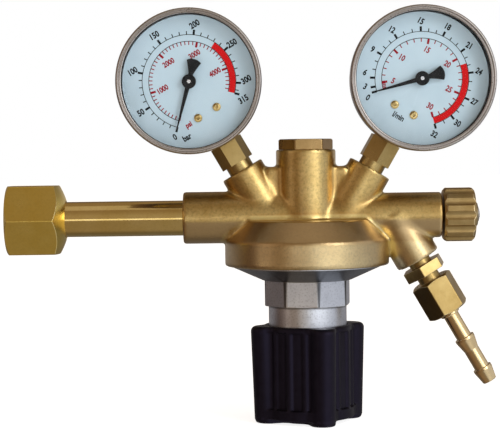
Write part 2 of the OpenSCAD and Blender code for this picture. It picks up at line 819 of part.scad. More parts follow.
// The hexagon of the inlet nut, its end turned to a dome
module inlet_nut_blank() {
    corner_d = inlet_nut_af / cos(30);
    drop = (corner_d - inlet_nut_af) / 2 * tan(30);
    wide = asin(corner_d / 2 / inlet_nut_dome_r);
    narrow = asin(inlet_nut_nose_d / 2 / inlet_nut_dome_r);
    centre = nut_end - inlet_nut_dome_r * cos(narrow);
    steps = 8;
    intersection() {
        translate([0, 0, nut_mouth]) cylinder(d = corner_d, h = nut_end - nut_mouth, $fn = 6);
        rotate_extrude() polygon(concat(
            [[0, nut_mouth], [inlet_nut_af / 2 - join, nut_mouth], [corner_d / 2, nut_mouth + drop]],
            [
                for (i = [0:steps])
                let (a = wide + (narrow - wide) * i / steps)
                [inlet_nut_dome_r * sin(a), centre + inlet_nut_dome_r * cos(a)]
            ],
            [[0, nut_end]]
        ));
    }
}

module inlet_nut() {
    color(brass) rotate([0, 90, 0]) difference() {
        rotate([0, 0, inlet_nut_turn]) inlet_nut_blank();
        rod(inlet_thread_d, nut_mouth - cut, join);
        translate([0, 0, nut_mouth - join])
            cylinder(d1 = inlet_thread_d + 2 * inlet_nut_entry, d2 = inlet_thread_d, h = inlet_nut_entry);
        rod(inlet_thread_d + 2 * nut_relief, 0, nut_seat);
        rod(stem_d + 2 * free_gap, 0, nut_end + cut);
    }
}

module inlet_nipple() {
    color(brass) rotate([0, 90, 0]) difference() {
        union() {
            rod(collar_d, collar_x, collar_back);
            rod(stem_d, collar_x, boss_x);
            rod(stem_thread_d, collar_x, boss_x + stem_thread_len);
        }
        rod(seal_od + 2 * fit_gap, collar_x - cut, seal_t);
        rod(filter_d + 2 * fit_gap, collar_x - cut, seal_t + filter_len);
        rod(stem_bore_d, 0, boss_x + stem_thread_len + cut);
    }
}

module inlet_seal() {
    color(fibre) rotate([0, 90, 0]) ring(seal_od, seal_id, 0, seal_t);
}

module inlet_filter() {
    color(bronze) rotate([0, 90, 0]) rod(filter_d, seal_t, seal_t + filter_len);
}

// Forged body

module bowl() {
    r = (bowl_d + diaphragm_growth) / 2;
    rotate_extrude() polygon([
        [0, -bowl_shoulder],
        [bowl_top_d / 2, -bowl_shoulder],
        [r, -bowl_shoulder - bowl_cone_h],
        [r, bowl_bottom + edge],
        [r - edge, bowl_bottom],
        [0, bowl_bottom]
    ]);
}

module web(side) {
    inner = gauge_foot + web_top * tan(gauge_angle) - gauge_boss_d / 2 / cos(gauge_angle) + 1;
    translate([0, web_t / 2, 0]) rotate([90, 0, 0]) linear_extrude(web_t) polygon([
        [0, 0],
        [0, web_top],
        [side * inner, web_top],
        [side * gauge_foot, 0]
    ]);
}

module body_blank() {
    at_body() bowl();
    at_body() boss(column_d, -bowl_shoulder - bowl_cone_h / 2, column_top);
    along_x(0) mirror([0, 0, 1]) boss(inlet_boss_d, 0, inlet_reach);
    along_x(0) boss(valve_boss_d, 0, valve_reach);
    along_outlet() boss(outlet_boss_d, 0, outlet_boss_len);
    for (side = [-1, 1]) {
        along_gauge(side) boss(gauge_boss_d, 0, gauge_boss_len);
        at_body() web(side);
    }
}

module body_bores() {
    // Inlet
    along_x(-inlet_reach) rod(stem_thread_d + 2 * fit_gap, -cut, stem_thread_len + free_gap);
    along_x(-inlet_reach) rod(stem_bore_d, 0, inlet_reach);
    // High pressure chamber, valve cap and nozzle
    at_body() {
        rod(supply_chamber_d, supply_floor, column_top);
        rod(cap_thread_d + 2 * fit_gap, cap_thread_bottom - cap_seal_t, column_top + cut);
        rod(nozzle_d + 2 * fit_gap, ceiling_z - cut, 0);
        rod(chamber_d, ledge_z - cut, ceiling_z);
        rod(thread_d + 2 * fit_gap, bowl_bottom - cut, ledge_z);
    }
    // Gauges: the left one reads the inlet, the right one the chamber under the nozzle
    for (side = [-1, 1])
        along_gauge(side) rod(gauge_thread_d + 2 * fit_gap, gauge_floor, gauge_boss_len + cut);
    along_gauge(-1) rod(gas_way_d, 0, gauge_floor + join);
    along_gauge(1) rod(gas_way_d, -(chamber_top + cut) / cos(gauge_angle), gauge_floor + join);
    // Outlet valve
    at_body() translate([feed_x, 0, 0]) rod(gas_way_d, ceiling_z - cut, 0);
    along_x(feed_x) rod(gas_way_d, -gas_way_d / 2, valve_seat_x - feed_x + cut);
    along_x(valve_seat_x) rod(valve_room_d, 0, valve_reach - valve_seat_x);
    along_x(gland_x) rod(gland_d + 2 * fit_gap, 0, gland_len + cut);
    along_outlet() rod(outlet_bore_d, 0, outlet_boss_len);
    along_outlet() rod(outlet_thread_d + 2 * fit_gap, outlet_floor, outlet_boss_len + cut);
}

module body() {
    color(forged_brass) difference() {
        body_blank();
        body_bores();
    }
}

// Pressure valve in the column

module valve_cap() {
    color(brass) at_body() difference() {
        union() {
            rotate([0, 0, cap_turn])
                nut_blank(cap_af, column_top, column_top + cap_h, low = false, face = cap_face);
            rod(cap_thread_d, cap_thread_bottom, column_top + join);
            rod(cap_guide_d, cap_guide_z, column_top);
        }
        rod(poppet_stem_d + 2 * run_gap, cap_guide_z - cut, cap_guide_z + stem_room);
    }
}

module cap_seal() {
    color("#b87333") at_body()
        ring(cap_thread_d, supply_chamber_d + 2 * fit_gap, cap_thread_bottom - cap_seal_t, cap_thread_bottom);
}

module valve_spring() {
    color(steel) at_body()
        coil(valve_spring_d, valve_wire_d, head_top, cap_guide_z, valve_spring_turns);
}

module valve_poppet() {
    color(brass) at_body() {
        difference() {
            rod(poppet_d, head_bottom, head_top);
            rod(pad_d + 2 * fit_gap, head_bottom - cut, pad_top);
        }
        rod(poppet_stem_d, head_top - join, head_top + poppet_stem_len);
        rod(push_pin_d, plate_top, pad_top + join);
    }
}

module seat_pad() {
    color(fibre) at_body() ring(pad_d, push_pin_d + 2 * fit_gap, lip_z, pad_top);
}

module valve_nozzle() {
    color(brass) at_body() difference() {
        union() {
            rod(nozzle_d, ceiling_z, supply_floor);
            rod(nozzle_flange_d, supply_floor, supply_floor + nozzle_flange_t);
            rod(nozzle_bore_d + 2 * seat_lip_w, supply_floor, lip_z);
        }
        rod(nozzle_bore_d, ceiling_z - cut, lip_z + cut);
    }
}

// Diaphragm and its plates

module diaphragm() {
    color(rubber) at_body() ring(diaphragm_d, rivet_d + 2 * fit_gap, slip_top, ledge_z);
}

module diaphragm_plate() {
    color(brass) at_body() ring(upper_plate_d, rivet_d + 2 * fit_gap, ledge_z, plate_top);
}

module spring_plate() {
    color(steel) at_body() {
        rod(spring_plate_d, spring_top, slip_top);
        rod(spigot_d, spring_top - spigot_h, spring_top);
        rod(rivet_d, slip_top - join, plate_top);
    }
}

module slip_ring() {
    color(bronze) at_body()
        ring(diaphragm_d, diaphragm_d - 2 * slip_ring_w, bonnet_top, slip_top);
}

// Bonnet, adjusting spring, screw and knob

module adjusting_spring() {
    color(steel) at_body() coil(spring_d, spring_wire_d, button_top, spring_top, spring_turns);
}

module spring_button() {
    color(steel) at_body() {
        rod(spring_plate_d, button_bottom, button_top);
        rod(spigot_d, button_top, button_top + spigot_h);
    }
}

module bonnet_shell() {
    rotate_extrude() polygon([
        [0, bonnet_top],
        [thread_d / 2, bonnet_top],
        [thread_d / 2, bowl_bottom],
        [flange_d / 2, bowl_bottom],
        [flange_d / 2, flange_bottom],
        [octagon_af / 2 / cos(22.5) + bonnet_step, octagon_top],
        [neck_d / 2, octagon_top],
        [neck_d / 2, neck_bottom],
        [0, neck_bottom]
    ]);
    rotate([0, 0, -90 + octagon_turn])
        nut_blank(octagon_af, octagon_bottom, octagon_top, sides = 8, high = false);
}

module bonnet() {
    mouth_r = diaphragm_d / 2 - slip_ring_w;
    room_r = spring_room_d / 2;
    color(zinc) at_body() difference() {
        bonnet_shell();
        rotate_extrude() polygon([
            [0, bonnet_top + cut],
            [mouth_r, bonnet_top + cut],
            [mouth_r, bonnet_top - slip_ring_t],
            [room_r, flange_bottom],
            [room_r, room_floor],
            [0, room_floor]
        ]);
        rod(screw_d + 2 * run_gap, neck_bottom - cut, room_floor + cut);
    }
}

module adjusting_screw() {
    color(steel) at_body() {
        rod(screw_d, knob_floor, button_bottom);
        translate([0, 0, knob_floor - screw_hex_len])
            cylinder(d = screw_hex_af / cos(30), h = screw_hex_len + join, $fn = 6);
    }
}

// One lobe, pointing to the front, from the axis to its round tip, with its fillets on the knob's wall
module lobe(wall_r) {
    reach = knob_d / 2 - lobe_r;
    from_axis = wall_r + lobe_fillet;
    from_lobe = lobe_r + lobe_fillet;
    beside = sqrt(pow(from_axis, 2) - pow(from_lobe, 2));
    past = (pow(beside, 2) + pow(reach, 2)) / 2 / reach;
    out = beside <= reach ? beside : past;
    side = sqrt(pow(from_axis, 2) - pow(out, 2));
    left = [-side, -out];
    right = [side, -out];
    foot = wall_r / from_axis;
    translate([0, -reach]) circle(r = lobe_r);
    translate([-lobe_r, -reach]) square([2 * lobe_r, reach]);
    difference() {
        polygon([[0, 0], left * foot, left, [0, -min(out, reach)], right, right * foot]);
        translate(left) circle(r = lobe_fillet + join);
        translate(right) circle(r = lobe_fillet + join);
    }
}

// The knob's outline round a wall, with its ribs or plain
module lobed_outline(wall_r, ribs = false) {
    between = 360 / knob_lobes;
    circle(r = wall_r);
    for (i = [0:knob_lobes - 1])
        rotate(knob_turn + i * between) lobe(wall_r);
    if (ribs)
        for (i = [0:knob_lobes - 1], j = [1:knob_ribs])
            rotate(knob_turn + (i + j / (knob_ribs + 1)) * between)
                translate([0, -wall_r - rib_proud + rib_d / 2]) circle(d = rib_d);
}

// The turned outline that rounds the lobes' ends and draws them in downwards
module knob_envelope() {
    r = knob_d / 2;
    low = r - knob_draft / 2;
    c = knob_round;
    arc = [for (a = [0:15:90]) [sin(a), cos(a)]];
    rotate_extrude() polygon(concat(
        [[0, knob_top]],
        [for (p = arc) [r - c + c * p[0], knob_top - c + c * p[1]]],
        [for (i = [6:-1:0]) [low - c + c * arc[i][0], knob_bottom + c - c * arc[i][1]]],
        [[0, knob_bottom]]
    ));
}

module adjusting_knob() {
    wall_r = knob_wall_d / 2;
    color(black_plastic) at_body() difference() {
        intersection() {
            union() {
                translate([0, 0, knob_bottom + knob_foot])
                    linear_extrude(knob_h - knob_foot) lobed_outline(wall_r, ribs = true);
                translate([0, 0, knob_bottom + foot_rise])
                    linear_extrude(knob_foot - foot_rise) lobed_outline(wall_r + foot_proud);
                translate([0, 0, knob_bottom]) linear_extrude(foot_rise) lobed_outline(sole_d / 2);
            }
            knob_envelope();
        }
        rod(neck_d + 2 * free_gap, knob_floor, knob_top + cut);
        translate([0, 0, knob_floor - screw_hex_len])
            cylinder(d = screw_hex_af / cos(30) + 2 * fit_gap, h = screw_hex_len + join, $fn = 6);
    }
}

// Outlet valve

module outlet_valve_disc() {
    color(fibre) along_x(0) difference() {
        rod(disc_d, valve_seat_x, disc_x);
        rod(nose_d + 2 * run_gap, disc_x - nose_len - run_gap, disc_x + cut);
    }
}

module outlet_valve_spindle() {
    color(brass) along_x(0) difference() {
        union() {
            rod(nose_d, disc_x - nose_len, disc_x + join);
            rod(spindle_d, disc_x, knob_x);
            rod(spindle_end_d, knob_x - join, knob_end);
        }
        rod(knob_screw_d + 2 * fit_gap, knob_end - knob_screw_len, knob_end + cut);
    }
}

module outlet_valve_gland() {
    color(brass) along_x(0) difference() {
        rod(gland_d, gland_x, valve_reach);
        rod(spindle_d + 2 * run_gap, gland_x - cut, valve_reach + cut);
        rod(oring_mid_d + oring_d + 2 * fit_gap, gland_x - cut, gland_x + oring_d);
    }
}

module gland_seal() {
    color(rubber) along_x(gland_x + oring_d / 2)
        rotate_extrude() translate([oring_mid_d / 2, 0]) circle(d = oring_d);
}

module outlet_valve_knob() {
    c = valve_knob_edge;
    r = valve_knob_d / 2;
    color(brass) along_x(0) difference() {
        intersection() {
            translate([0, 0, knob_x]) linear_extrude(valve_knob_len) difference() {
                circle(r = r);
                for (i = [0:valve_knob_flutes - 1])
                    rotate(i * 360 / valve_knob_flutes)
                        translate([r - flute_depth + flute_r, 0]) circle(r = flute_r);
            }
            rotate_extrude() polygon([
                [0, knob_x], [r - c, knob_x], [r, knob_x + c],
                [r, knob_end - c], [r - c, knob_end], [0, knob_end]
            ]);
        }
        rod(spindle_end_d + 2 * fit_gap, knob_x - cut, knob_end + cut);
    }
}

module knob_washer() {
    color(steel) along_x(0)
        ring(washer_d, knob_screw_d + 2 * fit_gap, knob_end, knob_end + washer_t);
}

module knob_screw() {
    top = knob_end + washer_t;
    color(zinc) along_x(0) {
        rod(knob_screw_d, knob_end - knob_screw_len + fit_gap, top + join);
        intersection() {
            rod(dome_d, top, top + dome_h);
            translate([0, 0, top + dome_h - dome_d]) sphere(r = dome_d);
        }
    }
}

// Outlet

module outlet_adapter() {
    color(brass) along_outlet() difference() {
        union() {
            rod(outlet_thread_d, adapter_start, outlet_boss_len);
            rod(adapter_neck_d, adapter_start, adapter_end);
            rotate([0, 0, adapter_turn]) nut_blank(outlet_af, hex_start, hex_end, low = false, high = false);
            rod(outlet_thread_d, nut_start, adapter_end);
        }
        rod(outlet_bore_d, adapter_start - cut, adapter_end + cut);
        rod(orifice_d + 2 * fit_gap, adapter_start - cut, adapter_start + orifice_len);
    }
}

module adapter_seal() {
    color(fibre) along_outlet()
        ring(outlet_thread_d, adapter_seal_id, outlet_floor, adapter_start);
}

module flow_orifice() {
    color(bronze) along_outlet()
        ring(orifice_d, orifice_hole_d, adapter_start, adapter_start + orifice_len);
}

module outlet_nut() {
    color(brass) along_outlet() difference() {
        rotate([0, 0, outlet_nut_turn]) nut_blank(outlet_af, nut_start, outlet_nut_end);
        rod(outlet_thread_d + 2 * free_gap, nut_start - cut, tail_seat);
        rod(max(tail_collar_d, barb_d) + 2 * free_gap, nut_start, outlet_nut_end + cut);
    }
}

module hose_tail() {
    color(brass) along_outlet() rotate_extrude() polygon([
        [outlet_bore_d / 2, adapter_end],
        [tail_head_d / 2, adapter_end],
        [tail_head_d / 2, tail_head_end],
        [tail_collar_d / 2, tail_head_end],
        [tail_collar_d / 2, tail_stem_start],
        [tail_stem_d / 2, tail_stem_start],
        [tail_stem_d / 2, barb_at - barb_land],
        [barb_d / 2, barb_at - barb_land],
        [barb_d / 2, barb_at],
        [tail_waist_d / 2, barb_at + barb_taper],
        [tail_waist_d / 2, tip_barb_at - barb_land],
        [tip_barb_d / 2, tip_barb_at - barb_land],
        [tip_barb_d / 2, tip_barb_at],
        [tail_tip_d / 2, tail_end],
        [outlet_bore_d / 2, tail_end]
    ]);
}

// Gauge connection and case

module gauge_seals() {
    color(bronze) for (side = [-1, 1])
        along_gauge(side) ring(gauge_thread_d, gauge_seal_id, gauge_floor, gauge_floor + gauge_seal_t);
}

// The block that carries the tube and the movement, inside the case
module socket_block(side) {
    half = block_half;
    inside = case_bore - 2 * fit_gap;
    intersection() {
        face(side, block_back) rod(inside, 0, foot_front - block_back);
        face(side) union() {
            translate([-half, foot_top, block_back])
                cube([2 * half, block_margin - pillar_z - foot_top, block_front - block_back]);
            translate([-half, -case_d / 2, block_back])
                cube([2 * half, foot_top + case_d / 2, foot_front - block_back]);
        }
    }
}

module socket_bores(side) {
    mid = tube_front - tube_w / 2;
    start = -sqrt(pow(tube_r, 2) - pow(block_half, 2));
    cross = foot_top - gauge_bore_d;
    at_gauge(side) rod(gauge_bore_d, -gauge_u, cross);
    face(side, mid) translate([0, cross, 0]) rod(gauge_bore_d / 2, 0, -mid);
    face(side, mid) translate([0, cross, 0]) rotate([-90, 0, 0]) rod(gauge_bore_d / 2, 0, start - cross);
    face(side, mid) translate([0, start, 0]) rotate([0, -90, 0]) rod(gauge_bore_d / 2, 0, block_half + cut);
    for (x = [-case_screw_x, case_screw_x])
        face(side) translate([x, -case_screw_z])
            rod(case_screw_d + 2 * fit_gap, block_back - cut, block_back + case_screw_len + free_gap);
}

module socket(side) {
    seat = gauge_floor + gauge_seal_t;
    from = gauge_boss_len + gauge_neck_len;
    to = gauge_u - case_bottom;
    color(brass) difference() {
        union() {
            along_gauge(side) {
                rod(gauge_thread_d, seat, gauge_boss_len);
                rod(gauge_neck_d, seat, gauge_u + foot_top);
                rotate([0, 0, side < 0 ? supply_hex_turn : flow_hex_turn])
                    nut_blank(gauge_hex_af, from, to, low = false, high = false);
            }
            socket_block(side);
        }
        socket_bores(side);
    }
}

module gauge_case(side) {
    color(steel) difference() {
        face(side) rod(case_d, -case_back, case_front);
        face(side) rod(case_bore, block_back, case_front + cut);
        at_gauge(side) rod(gauge_neck_d + 2 * fit_gap, -case_d, cut - case_bore / 2);
        face(side) translate([0, plug_z]) rod(plug_d + 2 * fit_gap, -case_back - cut, block_back + cut);
        for (x = [-case_screw_x, case_screw_x])
            face(side) translate([x, -case_screw_z])
                rod(case_screw_d + 2 * fit_gap, -case_back - cut, block_back + cut);
    }
}

module case_screws() {
    color(zinc) for (side = [-1, 1], x = [-case_screw_x, case_screw_x])
        face(side) translate([x, -case_screw_z]) {
            rod(case_screw_d, -case_back - join, block_back + case_screw_len);
            rod(case_screw_head_d, -case_back - case_screw_head_h, -case_back);
        }
}

module blowout_plugs() {
    color(rubber) for (side = [-1, 1])
        face(side) translate([0, plug_z]) {
            rod(plug_flange_d, -case_back - plug_flange_t, -case_back);
            rod(plug_d, -case_back - join, block_back + join);
            rod(plug_d + 2 * plug_lip, block_back, block_back + plug_lip);
        }
}

module bezel(side) {
    inner = case_d / 2 + fit_gap;
    outer = bezel_d / 2;
    color(steel) face(side) rotate_extrude() polygon([
        [inner, case_front - bezel_skirt],
        [outer, case_front - bezel_skirt],
        [outer, bezel_front - bezel_t],
        [outer - bezel_t, bezel_front],
        [inner - bezel_lip, bezel_front],
        [inner - bezel_lip, bezel_inside],
        [inner, bezel_inside]
    ]);
}

module window(side) {
    color("#eef6f8", 0.3) face(side) rod(window_d, window_back, bezel_inside);
}

module window_seals() {
    color(rubber) for (side = [-1, 1])
        face(side) ring(window_d, window_d - 2 * window_seal_w, case_front, window_back);
}

// Dial, pointer and movement

module dial(side) {
    color(dial_white) face(side) difference() {
        rod(case_bore - 2 * dial_gap, dial_back, dial_front);
        rod(arbor_d + 2 * free_gap, dial_back - cut, dial_front + cut);
        for (x = [-pillar_x, pillar_x])
            translate([x, -pillar_z]) rod(dial_screw_d + 2 * fit_gap, dial_back - cut, dial_front + cut);
    }
}

module dial_screws() {
    color(brass) for (side = [-1, 1], x = [-pillar_x, pillar_x])
        face(side) translate([x, -pillar_z]) {
            rod(dial_screw_head_d, dial_front, dial_front + dial_screw_head_h);
            rod(dial_screw_d, dial_back - dial_screw_len, dial_front + join);
        }
}

module movement_pillars() {
    color(brass) for (side = [-1, 1], x = [-pillar_x, pillar_x])
        face(side) translate([x, -pillar_z]) difference() {
            rod(pillar_d, block_front, dial_back);
            rod(dial_screw_d + 2 * fit_gap, dial_back - dial_screw_len - free_gap, dial_back + cut);
        }
}

// The pointer's flat shape: a tapered blade and a tail that fans out to a round end
module pointer_blade() {
    end_r = (pointer_tail_w * pointer_tail_w / 4 + pointer_bulge * pointer_bulge) / (2 * pointer_bulge);
    polygon([
        [-pointer_w / 2, 0],
        [-pointer_tip_w / 2, pointer_len],
        [pointer_tip_w / 2, pointer_len],
        [pointer_w / 2, 0],
        [pointer_w / 2, -pointer_waist],
        [pointer_tail_w / 2, pointer_bulge - pointer_tail],
        [-pointer_tail_w / 2, pointer_bulge - pointer_tail],
        [-pointer_w / 2, -pointer_waist]
    ]);
    intersection() {
        translate([0, end_r - pointer_tail]) circle(r = end_r);
        translate([-pointer_tail_w / 2, -pointer_tail]) square([pointer_tail_w, pointer_bulge]);
    }
}

module pointer(side) {
    color(black_plastic) face(side) rotate(-180 - zero_angle) difference() {
        union() {
            rod(pointer_hub_d, pointer_back, hub_front);
            translate([0, 0, pointer_back]) linear_extrude(pointer_t) pointer_blade();
        }
        rod(arbor_d + 2 * fit_gap, pointer_back - cut, hub_front + cut);
    }
}

module arbor(side) {
    color(steel) face(side) {
        rod(arbor_d, block_front + fit_gap, hub_front);
        translate([0, 0, sector_at - free_gap]) linear_extrude(sector_t + 2 * free_gap)
            polygon([for (i = [0:pinion_teeth - 1])
                each tooth(pinion_r, pinion_teeth, 180 + (i + 0.5) * 360 / pinion_teeth)]);
    }
}

// The toothed rim of the sector, about its own pivot
module sector_rim() {
    inside = sector_r - dedendum - sector_rim_w;
    ends = [sector_first - 0.5, sector_first + sector_cut - 0.5] * sector_step;
    teeth = [for (i = [0:sector_cut - 1])
        each tooth(sector_r, sector_teeth, (sector_first + i) * sector_step)];
    polygon(concat(
        teeth,
        [for (i = [12:-1:0]) polar(inside, ends[0] + (ends[1] - ends[0]) * i / 12)]
    ));
}

module sector(side) {
    tail_w = sector_tail_w;
    tail_end = polar(sector_tail, 180 + sector_rest);
    color(brass) face(side) translate([0, sector_z, 0]) {
        difference() {
            translate([0, 0, sector_at]) linear_extrude(sector_t) {
                sector_rim();
                rotate(-sector_rest) translate([-spoke_w / 2, 0])
                    square([spoke_w, sector_r - dedendum - sector_rim_w / 2]);
                rotate(-sector_rest) translate([-tail_w / 2, -sector_tail]) square([tail_w, sector_tail]);
                translate(tail_end) circle(d = tail_w);
            }
            rod(arbor_d, 0, sector_at + sector_t + cut);
        }
        rod(sector_hub_d, free_gap - back_plate_at, front_plate_at - free_gap);
        rod(arbor_d, block_front + fit_gap, front_plate_at + plate_t);
        translate(concat(tail_end, 0)) rod(link_pin_d, link_back, sector_at + join);
    }
}

module movement_plate() {
    half = block_half;
    difference() {
        union() {
            circle(r = plate_half);
            translate([-plate_half, -pillar_z]) square([2 * plate_half, pillar_z]);
            translate([-half, -pillar_z - plate_margin]) square([2 * half, 2 * plate_margin]);
        }
        circle(d = arbor_d + 2 * run_gap);
        translate([0, sector_z]) circle(d = arbor_d + 2 * run_gap);
        for (x = [-pillar_x, pillar_x]) translate([x, -pillar_z]) circle(d = pillar_d + 2 * fit_gap);
    }
}

module plates(side) {
    color(brass) {
        face(side, front_plate_at) linear_extrude(plate_t) movement_plate();
        face(side, -back_plate_at - plate_t) linear_extrude(plate_t) movement_plate();
    }
}

// The link joins the sector's tail to the tip of the tube
module link(side) {
    length = norm(link_reach);
    lean = atan2(link_reach[1], link_reach[0]);
    color(steel) face(side, link_back) translate(tail_pin) rotate(lean)
        linear_extrude(link_t) difference() {
            union() {
                translate([0, -link_w / 2]) square([length, link_w]);
                circle(d = link_w);
                translate([length, 0]) circle(d = link_w);
            }
            circle(d = link_pin_d + 2 * run_gap);
            translate([length, 0]) circle(d = link_pin_d + 2 * run_gap);
        }
}

// A stretch of flat tube round the gauge's centre, clockwise from angle a to angle b
module tube_arc(a, b, grow) {
    rotate(90 - b) rotate_extrude(angle = b - a) translate([tube_r - tube_t / 2 - grow, -grow])
        square([tube_t + 2 * grow, tube_w + 2 * grow]);
}

module tube(side) {
    back = tube_front - tube_w;
    tip = polar(tube_r, tube_tip_angle);
    // The tube starts inside the block, at its middle, and is then cut flush with the block's side
    start = -180;
    tip_wall = tube_wall / tube_r * 180 / PI;
    finger = tip_pin - tip;
    finger_back = tube_front - tube_wall / 2;
    color(bronze) face(side) {
        difference() {
            translate([0, 0, back]) tube_arc(start, tube_tip_angle, 0);
            translate([0, 0, back]) tube_arc(start - tip_wall, tube_tip_angle - tip_wall, -tube_wall);
            translate([-block_half - fit_gap, -case_d / 2, back - cut])
                cube([2 * block_half, case_d / 2, tube_w + 2 * cut]);
        }
        translate(tip) rotate(atan2(finger[1], finger[0])) translate([-finger_w, -finger_w / 2, finger_back])
            cube([norm(finger) + finger_w, finger_w, finger_front - finger_back]);
        translate(tip_pin) rod(finger_eye_d, finger_back, finger_front);
        translate(tip_pin) rod(link_pin_d, finger_front - join, link_back + link_t);
    }
}

// Each gauge's own pieces: supply reads the cylinder, flow the outlet

module supply_socket() { socket(-1); }
module supply_case() { gauge_case(-1); }
module supply_bezel() { bezel(-1); }
module supply_window() { window(-1); }
module supply_dial() { dial(-1); }
module supply_pointer() { pointer(-1); }
module supply_arbor() { arbor(-1); }
module supply_sector() { sector(-1); }
module supply_plates() { plates(-1); }
module supply_tube() { tube(-1); }
module supply_link() { link(-1); }
module flow_socket() { socket(1); }
module flow_case() { gauge_case(1); }
module flow_bezel() { bezel(1); }
module flow_window() { window(1); }
module flow_dial() { dial(1); }
module flow_pointer() { pointer(1); }
module flow_arbor() { arbor(1); }
module flow_sector() { sector(1); }
module flow_plates() { plates(1); }
module flow_tube() { tube(1); }
module flow_link() { link(1); }

inlet_nut();
inlet_nipple();
inlet_seal();
inlet_filter();
body();
valve_cap();
cap_seal();
valve_spring();
valve_poppet();
seat_pad();
valve_nozzle();
diaphragm();
diaphragm_plate();
spring_plate();
slip_ring();
adjusting_spring();
spring_button();
bonnet();
adjusting_screw();
adjusting_knob();
outlet_valve_disc();
outlet_valve_spindle();
outlet_valve_gland();
gland_seal();
outlet_valve_knob();
knob_washer();
knob_screw();
outlet_adapter();
adapter_seal();
flow_orifice();
outlet_nut();
hose_tail();
gauge_seals();
window_seals();
blowout_plugs();
dial_screws();
movement_pillars();
case_screws();
supply_socket();
supply_case();
supply_bezel();
supply_window();
supply_dial();
supply_pointer();
supply_arbor();
supply_sector();
supply_plates();
supply_tube();
supply_link();
flow_socket();
flow_case();
flow_bezel();
flow_window();
flow_dial();
flow_pointer();
flow_arbor();
flow_sector();
flow_plates();
flow_tube();
flow_link();
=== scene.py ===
import json
import math

import bmesh
import bpy
import numpy as np
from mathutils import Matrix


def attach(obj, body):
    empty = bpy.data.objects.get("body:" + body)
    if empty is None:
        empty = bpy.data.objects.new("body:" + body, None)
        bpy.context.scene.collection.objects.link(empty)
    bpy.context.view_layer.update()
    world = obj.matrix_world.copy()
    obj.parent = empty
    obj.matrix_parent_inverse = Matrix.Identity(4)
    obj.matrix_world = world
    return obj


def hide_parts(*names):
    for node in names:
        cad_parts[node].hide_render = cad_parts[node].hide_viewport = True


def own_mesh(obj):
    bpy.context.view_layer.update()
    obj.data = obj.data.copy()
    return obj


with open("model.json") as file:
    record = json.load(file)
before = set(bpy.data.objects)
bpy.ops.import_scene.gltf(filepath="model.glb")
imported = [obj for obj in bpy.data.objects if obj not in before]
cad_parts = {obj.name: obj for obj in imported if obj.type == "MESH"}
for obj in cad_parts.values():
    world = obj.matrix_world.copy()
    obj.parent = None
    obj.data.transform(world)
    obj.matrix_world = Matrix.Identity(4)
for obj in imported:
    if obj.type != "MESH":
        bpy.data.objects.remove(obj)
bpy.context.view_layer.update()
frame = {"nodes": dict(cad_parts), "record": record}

import openvdb
from mathutils import Matrix, Vector

MM = 0.001
TAU = 2 * math.pi
TAN30 = math.tan(math.radians(30))
scene = bpy.context.scene


def linked(name, data):
    """A new object in the scene."""
    obj = bpy.data.objects.new(name, data)
    scene.collection.objects.link(obj)
    return obj


# ---- camera

LENS, SENSOR = 118.0, 36.0
CAMERA_AT = (0.0888, -0.722, 0.0297)
LOOK_DOWN, ROLL = 2.30, 0.78
CLIP_NEAR, CLIP_FAR = 0.05, 20.0

camera_data = bpy.data.cameras.new("camera")
camera_data.lens, camera_data.sensor_width = LENS, SENSOR
camera_data.clip_start, camera_data.clip_end = CLIP_NEAR, CLIP_FAR
camera = linked("camera", camera_data)
camera.matrix_world = (
    Matrix.Translation(CAMERA_AT)
    @ Matrix.Rotation(math.radians(90 - LOOK_DOWN), 4, "X")
    @ Matrix.Rotation(math.radians(-ROLL), 4, "Z")
)
scene.camera = camera

# ---- frames, in mm


def turn_y(degrees, x=0.0):
    a = math.radians(degrees)
    c, s = math.cos(a), math.sin(a)
    return np.array([[c, 0, s, x], [0, 1, 0, 0], [-s, 0, c, 0], [0, 0, 0, 1.0]])


def turn_z(degrees):
    a = math.radians(degrees)
    c, s = math.cos(a), math.sin(a)
    return np.array([[c, -s, 0, 0], [s, c, 0, 0], [0, 0, 1, 0], [0, 0, 0, 1.0]])


def shift(x=0.0, y=0.0, z=0.0):
    m = np.eye(4)
    m[:3, 3] = x, y, z
    return m


BODY_X, OUTLET_OFF = 113.7, 37.7
STEM_OFF, STEM_LEAN, STEM_LEN = 16.2, 30, 68.8
INLET = turn_y(90)
BODY = turn_y(0, BODY_X)
VALVE = turn_y(90, BODY_X)
OUTLET = turn_y(150, BODY_X + OUTLET_OFF)
LIE = np.array([[1, 0, 0, 0], [0, 0, -1, 0], [0, 1, 0, 0], [0, 0, 0, 1.0]])
SIDES = {"supply": -1, "flow": 1}


def stem(side):
    """A gauge's stem: z runs up it from the body."""
    return turn_y(STEM_LEAN * side, BODY_X + STEM_OFF * side)


def face(side):
    """A gauge's face: z points out of the dial, y up the stem."""
    return stem(side) @ shift(z=STEM_LEN) @ LIE


# ---- materials

FINISH = {}  # materials by slot


